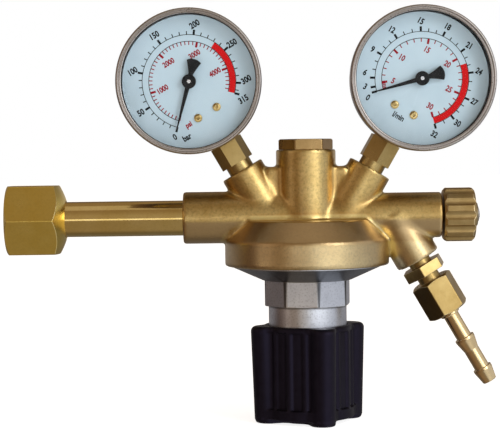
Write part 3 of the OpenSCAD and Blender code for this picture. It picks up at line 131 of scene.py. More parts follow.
class Nodes:
    """A node tree with a few short calls."""

    def __init__(self, tree, coord):
        self.tree = tree
        self.coord = self.node("TexCoord", {}, coord)

    def fill(self, n, inputs):
        """Sets or links a node's inputs."""
        for k, v in inputs.items():
            if isinstance(v, bpy.types.NodeSocket):
                self.tree.links.new(v, n.inputs[k])
            else:
                n.inputs[k].default_value = (*v, 1.0) if isinstance(v, tuple) else v

    def node(self, kind, inputs, output, **props):
        """Adds a node and gives one of its outputs."""
        n = self.tree.nodes.new("ShaderNode" + kind)
        for k, v in props.items():
            setattr(n, k, v)
        self.fill(n, inputs)
        return n.outputs[output]

    def noise(self, scale, detail=3.0, rough=0.5):
        inputs = {"Vector": self.coord, "Scale": scale, "Detail": detail, "Roughness": rough}
        return self.node("TexNoise", inputs, "Fac")

    def lines(self, per_mm):
        """Fine parallel marks along the lay attribute, as a cutting tool leaves them."""
        inputs = {"W": self.attribute("lay"), "Scale": per_mm, "Detail": 2.0}
        return self.node("TexNoise", inputs, "Fac", noise_dimensions="1D")

    def attribute(self, name):
        return self.node("Attribute", {}, "Fac", attribute_name=name)

    def ramp(self, value, low, high, a=0.0, b=1.0, **props):
        inputs = {"Value": value, "From Min": low, "From Max": high, "To Min": a, "To Max": b}
        return self.node("MapRange", inputs, "Result", **props)

    def times(self, a, b):
        return self.node("Math", {0: a, 1: b}, "Value", operation="MULTIPLY")

    def mix(self, fac, a, b):
        return self.node("Mix", {"Factor": fac, 6: a, 7: b}, 2, data_type="RGBA")

    def bump(self, height, distance, under=None):
        inputs = {"Height": height, "Distance": distance}
        if under is not None:
            inputs["Normal"] = under
        return self.node("Bump", inputs, "Normal")


class Shade(Nodes):
    """A material, kept in FINISH by its name."""

    def __init__(self, name):
        self.mat = FINISH[name] = bpy.data.materials.new(name)
        self.mat.use_nodes = True
        super().__init__(self.mat.node_tree, "Object")
        self.bsdf = self.tree.nodes["Principled BSDF"]


def dimmed(colour, share):
    return tuple(min(1.0, share * c) for c in colour)


# The first tone is the amber-brown of painted shade in hollows
PAINTED_SHADE_TONE, DULL_TONE, PALE_TONE = (0.58, 0.27, 0.04), (0.57, 0.40, 0.20), (0.80, 0.68, 0.46)


def brass(
    name, light, dark, edge, rough, marks=9.0, mark_depth=2e-6, spread=0.10, grain=0.0, coat=0.0, speck=0.16
):
    """Cut or forged brass: cloudy tarnish, tool marks, lighter edges (wear, and painted highlights along the
    body's concave creases) and amber-brown painted shade in hollows.
    """
    s = Shade(name)
    cloud = s.noise(70, 4.0, 0.6)
    fine = s.noise(900, 3.0, 0.6)
    tone = s.mix(s.ramp(cloud, 0.35, 0.68), dark, light)
    tone = s.mix(s.ramp(fine, 0.45, 0.75, 0.0, speck), tone, dimmed(dark, 0.55))
    # painted shade: amber-brown in hollows, where an occlusion-like mask says less light reaches
    tone = s.mix(s.times(s.attribute("cavity"), 0.85), tone, PAINTED_SHADE_TONE)
    tone = s.mix(s.attribute("dull"), tone, DULL_TONE)
    tone = s.mix(s.attribute("pale"), tone, PALE_TONE)
    # Lighter edge colour: wear on convex edges, a painted highlight along the body's concave creases
    wear_and_highlight = s.times(s.attribute("edge"), s.ramp(fine, 0.35, 0.65, 0.35, 0.95))
    normal = s.bump(s.lines(marks), mark_depth)
    if grain:
        normal = s.bump(s.noise(1700, 2.0, 0.6), grain, under=normal)
    s.fill(s.bsdf, {
        "Base Color": s.mix(wear_and_highlight, tone, edge), "Metallic": 1.0, "Normal": normal,
        "Roughness": s.ramp(cloud, 0.3, 0.7, rough + spread / 2, rough - spread / 2),
    })
    if coat:
        s.fill(s.bsdf, {"Coat Weight": coat, "Coat Roughness": 0.26, "Coat IOR": 1.8})
    return s.mat


def steel(name, light, dark, rough, marks=14.0, mark_depth=1.5e-6, aniso=0.0, grain=0.0, speck=0.2):
    """Steel or zinc: faint clouds and specks, tool marks, brighter edges and near-black painted shade where
    its mask is set (on the bonnet).
    """
    s = Shade(name)
    cloud = s.noise(60, 3.0, 0.55)
    fine = s.noise(1200, 3.0, 0.6)
    tone = s.mix(s.ramp(cloud, 0.35, 0.7), dark, light)
    tone = s.mix(s.ramp(fine, 0.5, 0.8, 0.0, speck), tone, dimmed(dark, 0.6))
    # painted shade: near-black where the shade mask is set
    tone = s.mix(s.attribute("cavity"), tone, dimmed(dark, 0.08))
    # lighter edge colour for wear
    wear_and_highlight = s.times(s.attribute("edge"), 0.5)
    normal = s.bump(s.lines(marks), mark_depth)
    if grain:
        normal = s.bump(s.noise(1800, 2.0, 0.5), grain, under=normal)
    s.fill(s.bsdf, {
        "Base Color": s.mix(wear_and_highlight, tone, dimmed(light, 1.25)), "Metallic": 1.0, "Normal": normal,
        "Anisotropic": aniso, "Roughness": s.ramp(fine, 0.3, 0.7, rough - 0.05, rough + 0.06),
    })
    return s.mat


def plain(
    name, light, dark, rough, scale=300, grain=4e-6, grain_scale=2500, edge=None, specular=0.5,
    tint=(1.0, 1.0, 1.0),
):
    """A moulded, painted or rubber surface with a fine grain and, if an edge colour is given, a painted
    highlight on its rounded edges.
    """
    s = Shade(name)
    cloud = s.noise(scale, 3.0, 0.55)
    tone = s.mix(s.ramp(cloud, 0.35, 0.68), dark, light)
    # painted highlight: a lighter colour on rounded edges
    if edge:
        tone = s.mix(s.times(s.attribute("edge"), 0.6), tone, edge)
    s.fill(s.bsdf, {
        "Base Color": tone, "Specular IOR Level": specular, "Specular Tint": tint,
        "Roughness": s.ramp(cloud, 0.3, 0.7, rough - 0.06, rough + 0.06),
        "Normal": s.bump(s.noise(grain_scale, 2.0, 0.5), grain),
    })
    return s.mat


def clear_glass(name):
    """Thin clear glass that lets light through to what lies under it."""
    s = Shade(name)
    s.fill(s.bsdf, {
        "Base Color": (0.97, 0.99, 1.0), "Transmission Weight": 1.0, "IOR": 1.08,
        "Roughness": s.ramp(s.noise(40, 2.0), 0.3, 0.7, 0.0, 0.02),
    })
    see = s.node("BsdfTransparent", {"Color": (0.96, 0.98, 0.985)}, "BSDF")
    shadow = s.node("LightPath", {}, "Is Shadow Ray")
    both = s.node("MixShader", {0: shadow, 1: s.bsdf.outputs["BSDF"], 2: see}, "Shader")
    s.fill(s.tree.nodes["Material Output"], {"Surface": both})
    return s.mat


MACHINED = brass("machined_brass", (0.58, 0.43, 0.18), (0.45, 0.31, 0.11), (0.95, 0.82, 0.52), 0.30)
YELLOW = brass("yellow_brass", (0.97, 0.75, 0.22), (0.86, 0.62, 0.14), (0.97, 0.84, 0.48), 0.30)
BROWNED = brass("browned_brass", (0.48, 0.32, 0.14), (0.34, 0.21, 0.08), (0.90, 0.72, 0.44), 0.30)
CREAM = brass("cream_brass", (0.90, 0.71, 0.42), (0.78, 0.58, 0.30), (0.97, 0.88, 0.64), 0.18)
POLISHED = brass(
    "polished_brass", (0.95, 0.73, 0.31), (0.86, 0.63, 0.22), (0.95, 0.84, 0.55), 0.13,
    marks=12.0, mark_depth=1.2e-6, spread=0.05,
)
FLUTED = brass("fluted_brass", (0.58, 0.42, 0.19), (0.45, 0.31, 0.12), (0.92, 0.77, 0.50), 0.42, marks=6.0)
FORGED = brass(
    "forged_brass", (0.77, 0.56, 0.20), (0.58, 0.37, 0.095), (0.98, 0.80, 0.32), 0.32,
    marks=3.0, mark_depth=0.6e-6, grain=6e-5, coat=0.6, speck=0.6,
)
brass("sintered_bronze", (0.48, 0.32, 0.14), (0.34, 0.21, 0.08), (0.6, 0.42, 0.2), 0.55, grain=1.2e-5)
brass("copper_ring", (0.72, 0.40, 0.25), (0.55, 0.28, 0.16), (0.85, 0.55, 0.38), 0.42)
ZINC = steel(
    "zinc_casting", (0.80, 0.835, 0.91), (0.66, 0.695, 0.77), 0.34,
    marks=5.0, mark_depth=1e-6, grain=4e-5, speck=0.7,
)
SATIN = steel(
    "satin_steel", (0.54, 0.505, 0.485), (0.44, 0.41, 0.39), 0.30, marks=18.0, mark_depth=2e-6, aniso=0.4
)
PLATED = steel("plated_steel", (0.80, 0.80, 0.82), (0.66, 0.66, 0.69), 0.24)
SPRING = steel("spring_steel", (0.36, 0.36, 0.38), (0.24, 0.24, 0.26), 0.34)
# The washer's dark brown is a painted shadow for the dark gap between the knob's face and the screw head
WASHER_PAINTED_SHADOW = steel("dark_washer", (0.34, 0.27, 0.16), (0.22, 0.17, 0.10), 0.38)
# The knob's lighter bluish edge colour is a painted highlight on its lobes' rounded edges
PLASTIC = plain(
    "black_plastic", (0.0046, 0.0038, 0.0062), (0.0030, 0.0025, 0.0042), 0.40, 260, 5e-6, 1800,
    edge=(0.014, 0.012, 0.020), specular=0.28, tint=(0.66, 0.56, 1.0),
)
RUBBER = plain("black_rubber", (0.030, 0.030, 0.031), (0.018, 0.018, 0.019), 0.68, 400, 8e-6, 1500)
plain("white_seal", (0.80, 0.78, 0.72), (0.70, 0.68, 0.62), 0.5)
DIAL = plain("dial_white", (0.53, 0.66, 0.745), (0.50, 0.635, 0.725), 0.42, 120, 1e-6, specular=0.3)
POINTER = plain(
    "pointer_black", (0.010, 0.010, 0.011), (0.007, 0.007, 0.008), 0.42, 300, 2e-6, specular=0.2
)
INKS = [
    plain("dial_" + name, light, dark, 0.6, 500, 1e-6, specular=0.1) for name, light, dark in (
        ("print", (0.010, 0.011, 0.014), (0.008, 0.009, 0.011)),
        ("red", (0.66, 0.010, 0.012), (0.60, 0.008, 0.010)),
        ("maroon", (0.33, 0.010, 0.022), (0.28, 0.008, 0.018)),
    )
]
BLACK_INK, RED_INK, MAROON_INK = range(3)
GLASS = clear_glass("window_glass")

SLOT_OF = {p["node"]: p["material_slot"] for p in frame["record"]["subparts"]}
BODY_OF = {n: b for b, ns in frame["record"]["behaviour"]["bodies"].items() for n in ns}
for node_name, obj in frame["nodes"].items():
    obj.data.materials.clear()
    obj.data.materials.append(FINISH[SLOT_OF[node_name]])

# ---- mesh helpers

MERGE, DEGENERATE = 2e-7, 1e-7
SHARP, NORMAL_WEIGHT = 40, 80
ARC_SHARE, LEAST_HALF_ANGLE = 0.47, 0.05
CORNER_WINDOW, CORNER_POINTS = 4.0, 7


def build(
    name, verts, faces, place, materials, attributes=None, face_material=None, weighted=True, sharp=SHARP
):
    """A mesh object from points in mm in a local frame."""
    v = np.asarray(verts, float)
    v = (v @ place[:3, :3].T + place[:3, 3]) * MM
    mesh = bpy.data.meshes.new(name)
    mesh.from_pydata(v.tolist(), [], [list(map(int, f)) for f in faces])
    for m in materials:
        mesh.materials.append(m)
    for key, values in (attributes or {}).items():
        a = mesh.attributes.new(key, "FLOAT", "POINT")
        a.data.foreach_set("value", np.asarray(values, np.float32))
    if face_material is not None:
        mesh.polygons.foreach_set("material_index", np.asarray(face_material, np.int32))
    bm = bmesh.new()
    bm.from_mesh(mesh)
    bmesh.ops.remove_doubles(bm, verts=bm.verts, dist=MERGE)
    bmesh.ops.dissolve_degenerate(bm, edges=bm.edges, dist=DEGENERATE)
    bmesh.ops.recalc_face_normals(bm, faces=bm.faces)
    bm.to_mesh(mesh)
    bm.free()
    mesh.polygons.foreach_set("use_smooth", [True] * len(mesh.polygons))
    mesh.set_sharp_from_angle(angle=math.radians(sharp))
    obj = linked(name, mesh)
    if weighted:
        mod = obj.modifiers.new("normals", "WEIGHTED_NORMAL")
        mod.keep_sharp = True
        mod.weight = NORMAL_WEIGHT
    return obj


def stand_for(obj, node):
    """The piece takes the node's place and body."""
    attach(obj, BODY_OF[node])
    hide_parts(node)
    return obj


def fillet(points, radii, steps=4, closed=True):
    """Rounds the corners of K polylines at once, and gives each point a weight for the lighter edge colour,
    which is wear and, on some pieces, a painted highlight. points is K x n x 2.
    """
    p = np.asarray(points, float)
    n = p.shape[1]
    out, edge = [], []
    for i in range(n):
        r = radii[i]
        if r <= 0 or (not closed and i in (0, n - 1)):
            out.append(p[:, i][:, None])
            edge.append([0.0])
            continue
        a, b = p[:, i - 1] - p[:, i], p[:, (i + 1) % n] - p[:, i]
        la = np.linalg.norm(a, axis=1, keepdims=True)
        lb = np.linalg.norm(b, axis=1, keepdims=True)
        u, w = a / np.maximum(la, 1e-9), b / np.maximum(lb, 1e-9)
        half = np.arccos(np.clip((u * w).sum(1, keepdims=True), -1, 1)) / 2
        d = np.minimum(r / np.tan(np.clip(half, LEAST_HALF_ANGLE, None)), ARC_SHARE * np.minimum(la, lb))
        start, end = p[:, i] + u * d, p[:, i] + w * d
        t = np.linspace(0, 1, steps + 1)[None, :, None]
        arc = (1 - t) ** 2 * start[:, None] + 2 * t * (1 - t) * p[:, i][:, None] + t**2 * end[:, None]
        out.append(arc)
        edge.append(list(np.sin(np.linspace(0, math.pi, steps + 1))))
    return np.concatenate(out, 1), np.concatenate(edge)


def grid_quads(rows, m, open_rows=False, open_ends=False):
    """Quads on rows of m points each. Rows and ends close into rings unless they are open."""
    i, j = np.meshgrid(np.arange(rows - open_rows), np.arange(m - open_ends), indexing="ij")
    i2, j2 = (i + 1) % rows, (j + 1) % m
    return np.stack([i * m + j, i2 * m + j, i2 * m + j2, i * m + j2], -1).reshape(-1, 4)


def sweep(angles, rings, closed=True):
    """Points and quads of K profiles set round the z axis. rings is K x m x (r, z)."""
    r, z, a = rings[..., 0], rings[..., 1], np.asarray(angles)[:, None]
    verts = np.stack([r * np.cos(a), r * np.sin(a), z], -1).reshape(-1, 3)
    return verts, grid_quads(*rings.shape[:2], open_ends=not closed)


def shaped(name, place, angles, corners, material, steps=4, closed=True, cavity=None):
    """A skin round the z axis, with its lighter edges (wear and painted highlights), tool lay and painted
    shade as attributes.

    Each corner of its profile is (radius, height, rounding). Radius and height may vary with the angle.
    """
    k = len(angles)
    points = np.stack([
        np.stack([np.broadcast_to(r, k), np.broadcast_to(z, k)], -1) for r, z, _ in corners
    ], 1)
    rings, edge = fillet(points, [c[2] for c in corners], steps, closed)
    lay = np.concatenate([[0], np.cumsum(np.linalg.norm(np.diff(rings.mean(0), axis=0), axis=1))])
    looks = {"edge": np.tile(edge, k), "lay": np.tile(lay, k)}
    if cavity:
        looks["cavity"] = cavity(angles, rings).reshape(-1)
    return build(name, *sweep(angles, rings, closed), place, [material], looks)


def circle_angles(n):
    return np.arange(n) * TAU / n


def lathe(name, place, corners, material, n=96, steps=4, closed=True):
    """A round piece of n steps."""
    return shaped(name, place, circle_angles(n), corners, material, steps, closed)


def prism(sides, across, turn, rho, flats):
    """Angles round a prism, closer at its corners, and its radius there with the corners rounded to rho."""
    step = 360 / sides
    part = np.concatenate([
        np.linspace(-CORNER_WINDOW, CORNER_WINDOW, CORNER_POINTS, endpoint=False),
        np.linspace(CORNER_WINDOW, step - CORNER_WINDOW, flats, endpoint=False),
    ])
    angles = np.radians((np.arange(sides)[:, None] * step + part + turn).reshape(-1))
    a, half = across / 2, math.pi / sides
    phi = np.abs((angles - math.radians(turn)) % (2 * half) - half)
    c = (a - rho) / math.cos(half)
    d = half - phi
    arc = c * np.cos(d) + np.sqrt(np.maximum(rho**2 - (c * np.sin(d)) ** 2, 0))
    return angles, np.where(a * np.tan(phi) > (a - rho) * math.tan(half), arc, a / np.cos(phi))


# ---- inlet nut and stem

NUT_AF, NUT_TURN, NUT_CORNER, NUT_MOUTH, NUT_END = 30.0, 30.0, 0.7, -17.8, 7.8
NUT_MOUTH_R, NOSE_R, DOME_R = NUT_AF / 2 - 0.1, 8.6, 29.5
PITCH, CREST, ROOT = 1.814, 9.85, 10.88
THREAD_FROM, THREAD_TO, THREAD_END, THREAD_STEPS = -0.3, -16.7, -17.0, 9
RUN_IN, RUN_OUT, FLANK_GAIN, FLANK_START = 1.2, 1.6, 1.35, 0.18


def dome_z(r):
    """Height of the dome on the nut's end at a distance from its axis."""
    return NUT_END + np.sqrt(DOME_R**2 - np.square(r)) - math.sqrt(DOME_R**2 - NOSE_R**2)


ang, h = prism(6, NUT_AF, NUT_TURN, NUT_CORNER, 12)
nut = [(NUT_MOUTH_R, NUT_MOUTH, 0.3), (h, NUT_MOUTH + (h - NUT_MOUTH_R) * TAN30, 0.4)]
for share, rounding in ((0.0, 0.35), (0.15, 0), (0.4, 0), (0.65, 0), (0.85, 0), (1.0, 0.25)):
    r = h + (NOSE_R - h) * share
    nut.append((r, dome_z(r), rounding))
nut += [(8.05, NUT_END, 0.2), (8.05, 4.8, 0), (11.4, 4.8, 0), (11.4, 0.2, 0)]
for z in np.arange(THREAD_FROM, THREAD_TO, -PITCH / THREAD_STEPS):
    wave = np.abs(((z / PITCH - ang / TAU) % 1.0) * 2 - 1)
    depth = min(1.0, -z / RUN_IN, (z - THREAD_END) / RUN_OUT)
    nut.append((ROOT - (ROOT - CREST) * depth * np.clip(wave * FLANK_GAIN - FLANK_START, 0, 1), z, 0))
nut += [(10.9, NUT_MOUTH + 1.0, 0), (11.9, NUT_MOUTH, 0.25)]
stand_for(shaped("inlet_nut_skin", INLET, ang, nut, YELLOW), "inlet_nut")

inlet_stem = [
    (2.5, 16.0, 0), (4.05, 16.0, 0), (4.05, 2.0, 0), (7.55, 2.0, 0), (7.55, 0.5, 0.2), (9.5, 0.5, 0.5),
    (9.5, 4.5, 0.4), (7.75, 4.5, 0.3), (7.75, 59.4, 0.15), (7.0, 59.52, 0), (7.0, 71.5, 0.6), (2.5, 71.5, 0),
]
stand_for(lathe("inlet_stem", INLET, inlet_stem, POLISHED, 128), "inlet_nipple")

# ---- forged body

VOXEL, SLOPE_STEP, LOOK_STEP = 0.8, 0.02, 0.05
BAND, DRAWS, DRAW_MAX, LEAST_SLOPE = 4, 3, 0.6, 0.3
BODY_LOW, BODY_HIGH = (58.0, -37.7, -22.9), (176.5, 37.7, 31.4)


def smin(a, b, k):
    """Union of two distances, blended over k."""
    h = np.clip(0.5 + 0.5 * (b - a) / k, 0, 1)
    return b + (a - b) * h - k * h * (1 - h)


def overlap(d, e):
    """Distance to what lies inside both of two shapes."""
    return np.minimum(np.maximum(d, e), 0) + np.hypot(np.maximum(d, 0), np.maximum(e, 0))


def rod_field(p, place, r, z0, z1, round_by=0.0):
    """Distance to a cylinder along a frame's z axis, its edges rounded."""
    inv = np.linalg.inv(place)
    q = p @ inv[:3, :3].T + inv[:3, 3]
    d = np.hypot(q[..., 0], q[..., 1]) - r + round_by
    e = np.abs(q[..., 2] - (z0 + z1) / 2) - (z1 - z0) / 2 + round_by
    return overlap(d, e) - round_by


def shape_field(q, poly):
    """Signed distance to a polygon given clockwise or counter-clockwise, q is ... x 2."""
    poly = np.asarray(poly, float)
    best = np.full(q.shape[:-1], 1e9)
    inside = np.zeros(q.shape[:-1], bool)
    for a, b in zip(poly, np.roll(poly, -1, 0)):
        e, w = b - a, q - a
        t = np.clip((w @ e) / (e @ e), 0, 1)
        best = np.minimum(best, ((w - t[..., None] * e) ** 2).sum(-1))
        crosses = (a[1] > q[..., 1]) != (b[1] > q[..., 1])
        with np.errstate(divide="ignore", invalid="ignore"):
            at = (b[0] - a[0]) * (q[..., 1] - a[1]) / (b[1] - a[1]) + a[0]
        inside ^= crosses & (q[..., 0] < at)
    return np.where(inside, -1, 1) * np.sqrt(best)


BOWL_ROUND = 1.0
BOWL = [(-40.0, -2.2), (27.56, -2.2), (35.1, -10.4), (35.1, -20.3), (-40.0, -20.3)]
WEB = [(0.0, 0.0), (0.0, 20.6), (16.4, 20.6), (14.8, 0.0)]
WEB_HALF, WEB_ROUND = 5.1, 1.4
# Rods: radius, from and to along z, rounding. Bores: frame, radius, from and to
COLUMN, BOSS = (13.1, -5.0, 29.4, 0.6), (9.8, 0.0, 24.0, 0.6)
INLET_ARM, VALVE_ARM, OUTLET_ARM = (11.4, -54.2, 0.0, 1.1), (10.0, 0.0, 59.2, 0.8), (10.0, 0.0, 22.7, 0.7)
WEB_BLEND, WEBS_BLEND, COLUMN_BLEND, OUTLET_BLEND, ARM_BLEND, BOWL_BLEND = 1.9, 2.0, 1.8, 1.5, 1.3, 1.2
BORE_BLEND = 0.35
BORES = [
    (VALVE, 7.05, -55.2, -41.9), (VALVE, 2.5, -54.2, 0.0),
    (BODY, 8.0, -5.0, 29.4), (BODY, 10.05, 19.4, 30.4), (BODY, 5.55, -10.5, 0.0),
    (BODY, 25.0, -13.5, -9.5), (BODY, 31.05, -22.3, -12.5),
    (stem(-1), 6.55, 11.0, 25.0), (stem(1), 6.55, 11.0, 25.0),
    (stem(-1), 2.0, 0.0, 11.1), (stem(1), 2.0, -12.0, 11.1),
    (BODY @ shift(22.2), 2.0, -10.5, 0.0), (VALVE, 2.0, 20.2, 29.0), (VALVE, 6.0, 28.0, 59.2),
    (VALVE, 6.85, 43.2, 60.2), (OUTLET, 2.2, 0.0, 22.7), (OUTLET, 6.55, 14.2, 23.7),
]


def blank_field(p):
    """Distance to the forging before it is bored."""
    q = p - np.array([BODY_X, 0, 0])
    bowl = shape_field(np.stack([np.hypot(q[..., 0], q[..., 1]), q[..., 2]], -1), BOWL) - BOWL_ROUND
    webs = []
    for side in SIDES.values():
        flat = shape_field(np.stack([q[..., 0] * side, q[..., 2]], -1), WEB)
        web = overlap(flat, np.abs(q[..., 1]) - WEB_HALF) - WEB_ROUND
        webs.append(smin(rod_field(p, stem(side), *BOSS), web, WEB_BLEND))
    d = smin(rod_field(p, BODY, *COLUMN), smin(*webs, WEBS_BLEND), COLUMN_BLEND)
    d = smin(d, rod_field(p, VALVE, *INLET_ARM), ARM_BLEND)
    valve = smin(rod_field(p, VALVE, *VALVE_ARM), rod_field(p, OUTLET, *OUTLET_ARM), OUTLET_BLEND)
    return smin(smin(d, valve, ARM_BLEND), bowl, BOWL_BLEND)


def body_field(p):
    """Distance to the bored body."""
    d = blank_field(p)
    for place, r, z0, z1 in BORES:
        d = -smin(-d, rod_field(p, place, r, z0, z1), BORE_BLEND)
    return d


def slope(field, points, step):
    """Gradient of a field, by differences."""
    return np.stack([field(points + step * e) - field(points - step * e) for e in np.eye(3)], -1) / (2 * step)


def field_mesh(field, low, high, voxel):
    """Quads on the zero level of a field, drawn onto it exactly."""
    low, high = np.asarray(low, float), np.asarray(high, float)
    count = np.ceil((high - low) / voxel).astype(int) + 1
    values = np.empty(count, np.float32)
    ys, zs = low[1] + voxel * np.arange(count[1]), low[2] + voxel * np.arange(count[2])
    yy, zz = np.meshgrid(ys, zs, indexing="ij")
    for i in range(count[0]):
        x = np.full_like(yy, low[0] + voxel * i)
        values[i] = field(np.stack([x, yy, zz], -1))
    grid = openvdb.FloatGrid()
    grid.copyFromArray(np.clip(values, -BAND, BAND))
    points, quads = grid.convertToQuads(0.0)
    points = np.asarray(points, float) * voxel + low
    for _ in range(DRAWS):
        d, g = np.clip(field(points), -DRAW_MAX, DRAW_MAX), slope(field, points, SLOPE_STEP)
        points = points - d[:, None] * g / np.maximum((g * g).sum(1, keepdims=True), LEAST_SLOPE)
    return points, np.asarray(quads)


def rise(x, start, width=1.0):
    """Climbs from 0 at start to 1 over a width."""
    return np.clip((x - start) / width, 0, 1)


# Reaches and masks for painted shade in hollows, painted highlights in concave creases, lighter wear on
# convex edges, and the cone's and rim's tones
HOLLOW_REACH, EDGE_REACH = 3.2, 0.9
HOLLOW, CREASE, BOWED = (0, 1.5), (0.6, 0.4), (-0.86, 0.5)
CONE_FROM, CONE_TOP, CONE_FOOT = 26.0, -1.0, -11.6
RIM_FROM, RIM_TOP = 35.4, -10.6
EDGE_WEAR_AND_HIGHLIGHT, CONE_DULL, RIM_PALE = 0.6, 0.75, 0.4

points, quads = field_mesh(body_field, BODY_LOW, BODY_HIGH, VOXEL)
out = slope(blank_field, points, LOOK_STEP)
out /= np.maximum(np.linalg.norm(out, axis=1, keepdims=True), 1e-6)
short = HOLLOW_REACH - blank_field(points + HOLLOW_REACH * out)
# A painted highlight along the concave creases between bosses, arms and bowl
crease_highlight = rise(short, *CREASE)
bowed = rise(blank_field(points - EDGE_REACH * out), *BOWED)
from_axis, height = np.hypot(points[:, 0] - BODY_X, points[:, 1]), points[:, 2]
on_cone = rise(from_axis, CONE_FROM) * rise(-height, -CONE_TOP) * rise(height, CONE_FOOT)
on_rim = rise(from_axis, RIM_FROM, 0.5) * rise(-height, -RIM_TOP)
# Painted shade darkens the hollows except along the concave creases, which get a painted highlight; convex
# edges get lighter wear; the cone gets a darker, duller tone and the rim a paler one
body_looks = {
    "cavity": rise(short, *HOLLOW) * (1 - crease_highlight), "edge": EDGE_WEAR_AND_HIGHLIGHT * np.maximum(bowed, crease_highlight),
    "lay": height, "dull": CONE_DULL * on_cone, "pale": RIM_PALE * on_rim,
}
stand_for(
    build("body_skin", points, quads, np.eye(4), [FORGED], body_looks, weighted=False, sharp=48), "body"
)

# ---- valve cap

CAP_AF, CAP_TURN, CAP_CORNER, CAP_TOP = 21.0, 5.0, 0.8, 34.1

ang, h = prism(6, CAP_AF, CAP_TURN, CAP_CORNER, 10)
end = np.minimum(11.2, h - 0.3)
cap = [
    (0, CAP_TOP, 0), (end, CAP_TOP, 0.5), (h, CAP_TOP - (h - end) * TAN30, 0.5), (h, 29.42, 0.3),
    (10.0, 29.42, 0), (10.0, 20.4, 0.5), (4.5, 20.4, 0), (4.5, 11.0, 0.3), (2.06, 11.0, 0.2), (2.06, 16.9, 0),
    (0, 16.9, 0),
]
stand_for(shaped("valve_cap_skin", BODY, ang, cap, BROWNED, closed=False), "valve_cap")

# ---- bonnet

OCT_AF, OCT_TURN, OCT_CORNER, OCT_TOP, OCT_FOOT = 36.0, -77.0, 2.2, -27.72, -39.1
OCT_STEP, FLANGE_FOOT, NECK_R = 45.0, -21.8, 17.2
UNDER_DARK, LINE_DARK, FOOT_DARK = 0.68, 0.95, 0.8
LINE_HALF, LINE_WIDENS, LINE_CORE = 0.9, 0.13, 1.6


def bonnet_shade(angles, rings):
    """Painted shade under the cone, painted dark reflections down the octagon's corners and a painted shadow
    line round its foot.
    """
    r, z = rings[..., 0], rings[..., 1]
    outside = r > NECK_R + 0.6
    under = (z < FLANGE_FOOT + 0.05) & (z > OCT_TOP - 0.03) & outside
    corner = np.abs((np.degrees(angles) - OCT_TURN + OCT_STEP / 2) % OCT_STEP - OCT_STEP / 2)[:, None]
    wide = LINE_HALF + LINE_WIDENS * np.clip(z - OCT_FOOT, 0, None)
    line = np.clip(LINE_CORE - corner / wide, 0, 1)
    line *= (z < OCT_TOP + 0.12) & (z > OCT_FOOT - 0.1) & outside
    foot = (z < OCT_FOOT + 0.25) & (z > OCT_FOOT - 0.2) & (r > NECK_R - 0.1)
    return np.maximum(UNDER_DARK * under, np.maximum(LINE_DARK * line, FOOT_DARK * foot))


ang, h = prism(8, OCT_AF, OCT_TURN, OCT_CORNER, 10)
bonnet = [
    (25.5, -15.0, 0), (31.0, -15.0, 0.3), (31.0, -21.28, 0), (33.0, -21.28, 0.2), (33.0, FLANGE_FOOT, 0.25),
    (19.88, -27.7, 0.5), (h, OCT_TOP, 0.25), (h, -31.5, 0), (h, -35.3, 0), (h, OCT_FOOT, 0.7),
    (NECK_R + 0.05, OCT_FOOT, 0), (NECK_R, -39.15, 0), (NECK_R, -40.0, 0), (NECK_R, -66.2, 0.8),
    (6.06, -66.2, 0.5), (6.06, -58.2, 0.3), (14.5, -58.2, 0.4), (14.5, -21.8, 0.4), (25.5, -16.0, 0.3),
]
stand_for(shaped("bonnet_skin", BODY, ang, bonnet, ZINC, cavity=bonnet_shade), "bonnet")

# ---- adjusting knob

KNOB_TOP, KNOB_BOTTOM, KNOB_FLOOR, KNOB_SOCKET = -47.6, -90.0, -74.7, -82.7
KNOB_FOOT, KNOB_LIP, KNOB_TURN = 6.5, 2.4, 17.0
KNOB_TIP, KNOB_DRAFT, KNOB_WALL, KNOB_SOLE = 26.2, 1.4, 18.9, 14.0
LOBES, LOBE_R, LOBE_FILLET = 4, 5.3, 2.5
RIBS, RIB_R, RIB_PROUD, FOOT_PROUD, FOOT_RISE = 3, 2.0, 1.0, 1.3, 1.8
TOP_ROUND, RIB_BLEND = 2.2, 0.4
SEARCH_FROM, SEARCH_TO, SEARCH_STEPS = 10.0, 32.0, 40


def round_join(a, b, r):
    """Union of two distances with a round fillet."""
    return np.maximum(r, np.minimum(a, b)) - np.hypot(np.maximum(r - a, 0), np.maximum(r - b, 0))


def knob_outline(ang, tip, wall, ribs):
    """Polar outline of the lobed knob, its hollows filleted, found along each ray."""

    def distance(r):
        x, y = r * np.cos(ang), r * np.sin(ang)
        d = np.hypot(x, y) - wall
        for i in range(LOBES):
            a = math.radians(KNOB_TURN + i * 360 / LOBES - 90)
            u, v = x * math.cos(a) + y * math.sin(a), -x * math.sin(a) + y * math.cos(a)
            lobe = np.hypot(u - np.clip(u, 0, tip - LOBE_R), v) - LOBE_R
            d = round_join(d, lobe, LOBE_FILLET)
        for i in range(LOBES if ribs else 0):
            for j in range(1, RIBS + 1):
                b = math.radians(KNOB_TURN + (i + j / (RIBS + 1)) * 360 / LOBES - 90)
                at = wall + RIB_PROUD - RIB_R
                d = smin(d, np.hypot(x - at * math.cos(b), y - at * math.sin(b)) - RIB_R, RIB_BLEND)
        return d

    low, high = np.full_like(ang, SEARCH_FROM), np.full_like(ang, SEARCH_TO)
    for _ in range(SEARCH_STEPS):
        mid = (low + high) / 2
        out = distance(mid) > 0
        high, low = np.where(out, mid, high), np.where(out, low, mid)
    return (low + high) / 2


ang = circle_angles(480)
lip_at, foot_at, rise_at = KNOB_TOP - KNOB_LIP, KNOB_BOTTOM + KNOB_FOOT, KNOB_BOTTOM + FOOT_RISE
lip, foot = KNOB_WALL + 0.8 * RIB_PROUD, KNOB_WALL + FOOT_PROUD
ribbed = (foot_at + 0.3, foot_at + 1.0, -73.0, -64.0, -56.0, lip_at - 1.0, lip_at - 0.25)
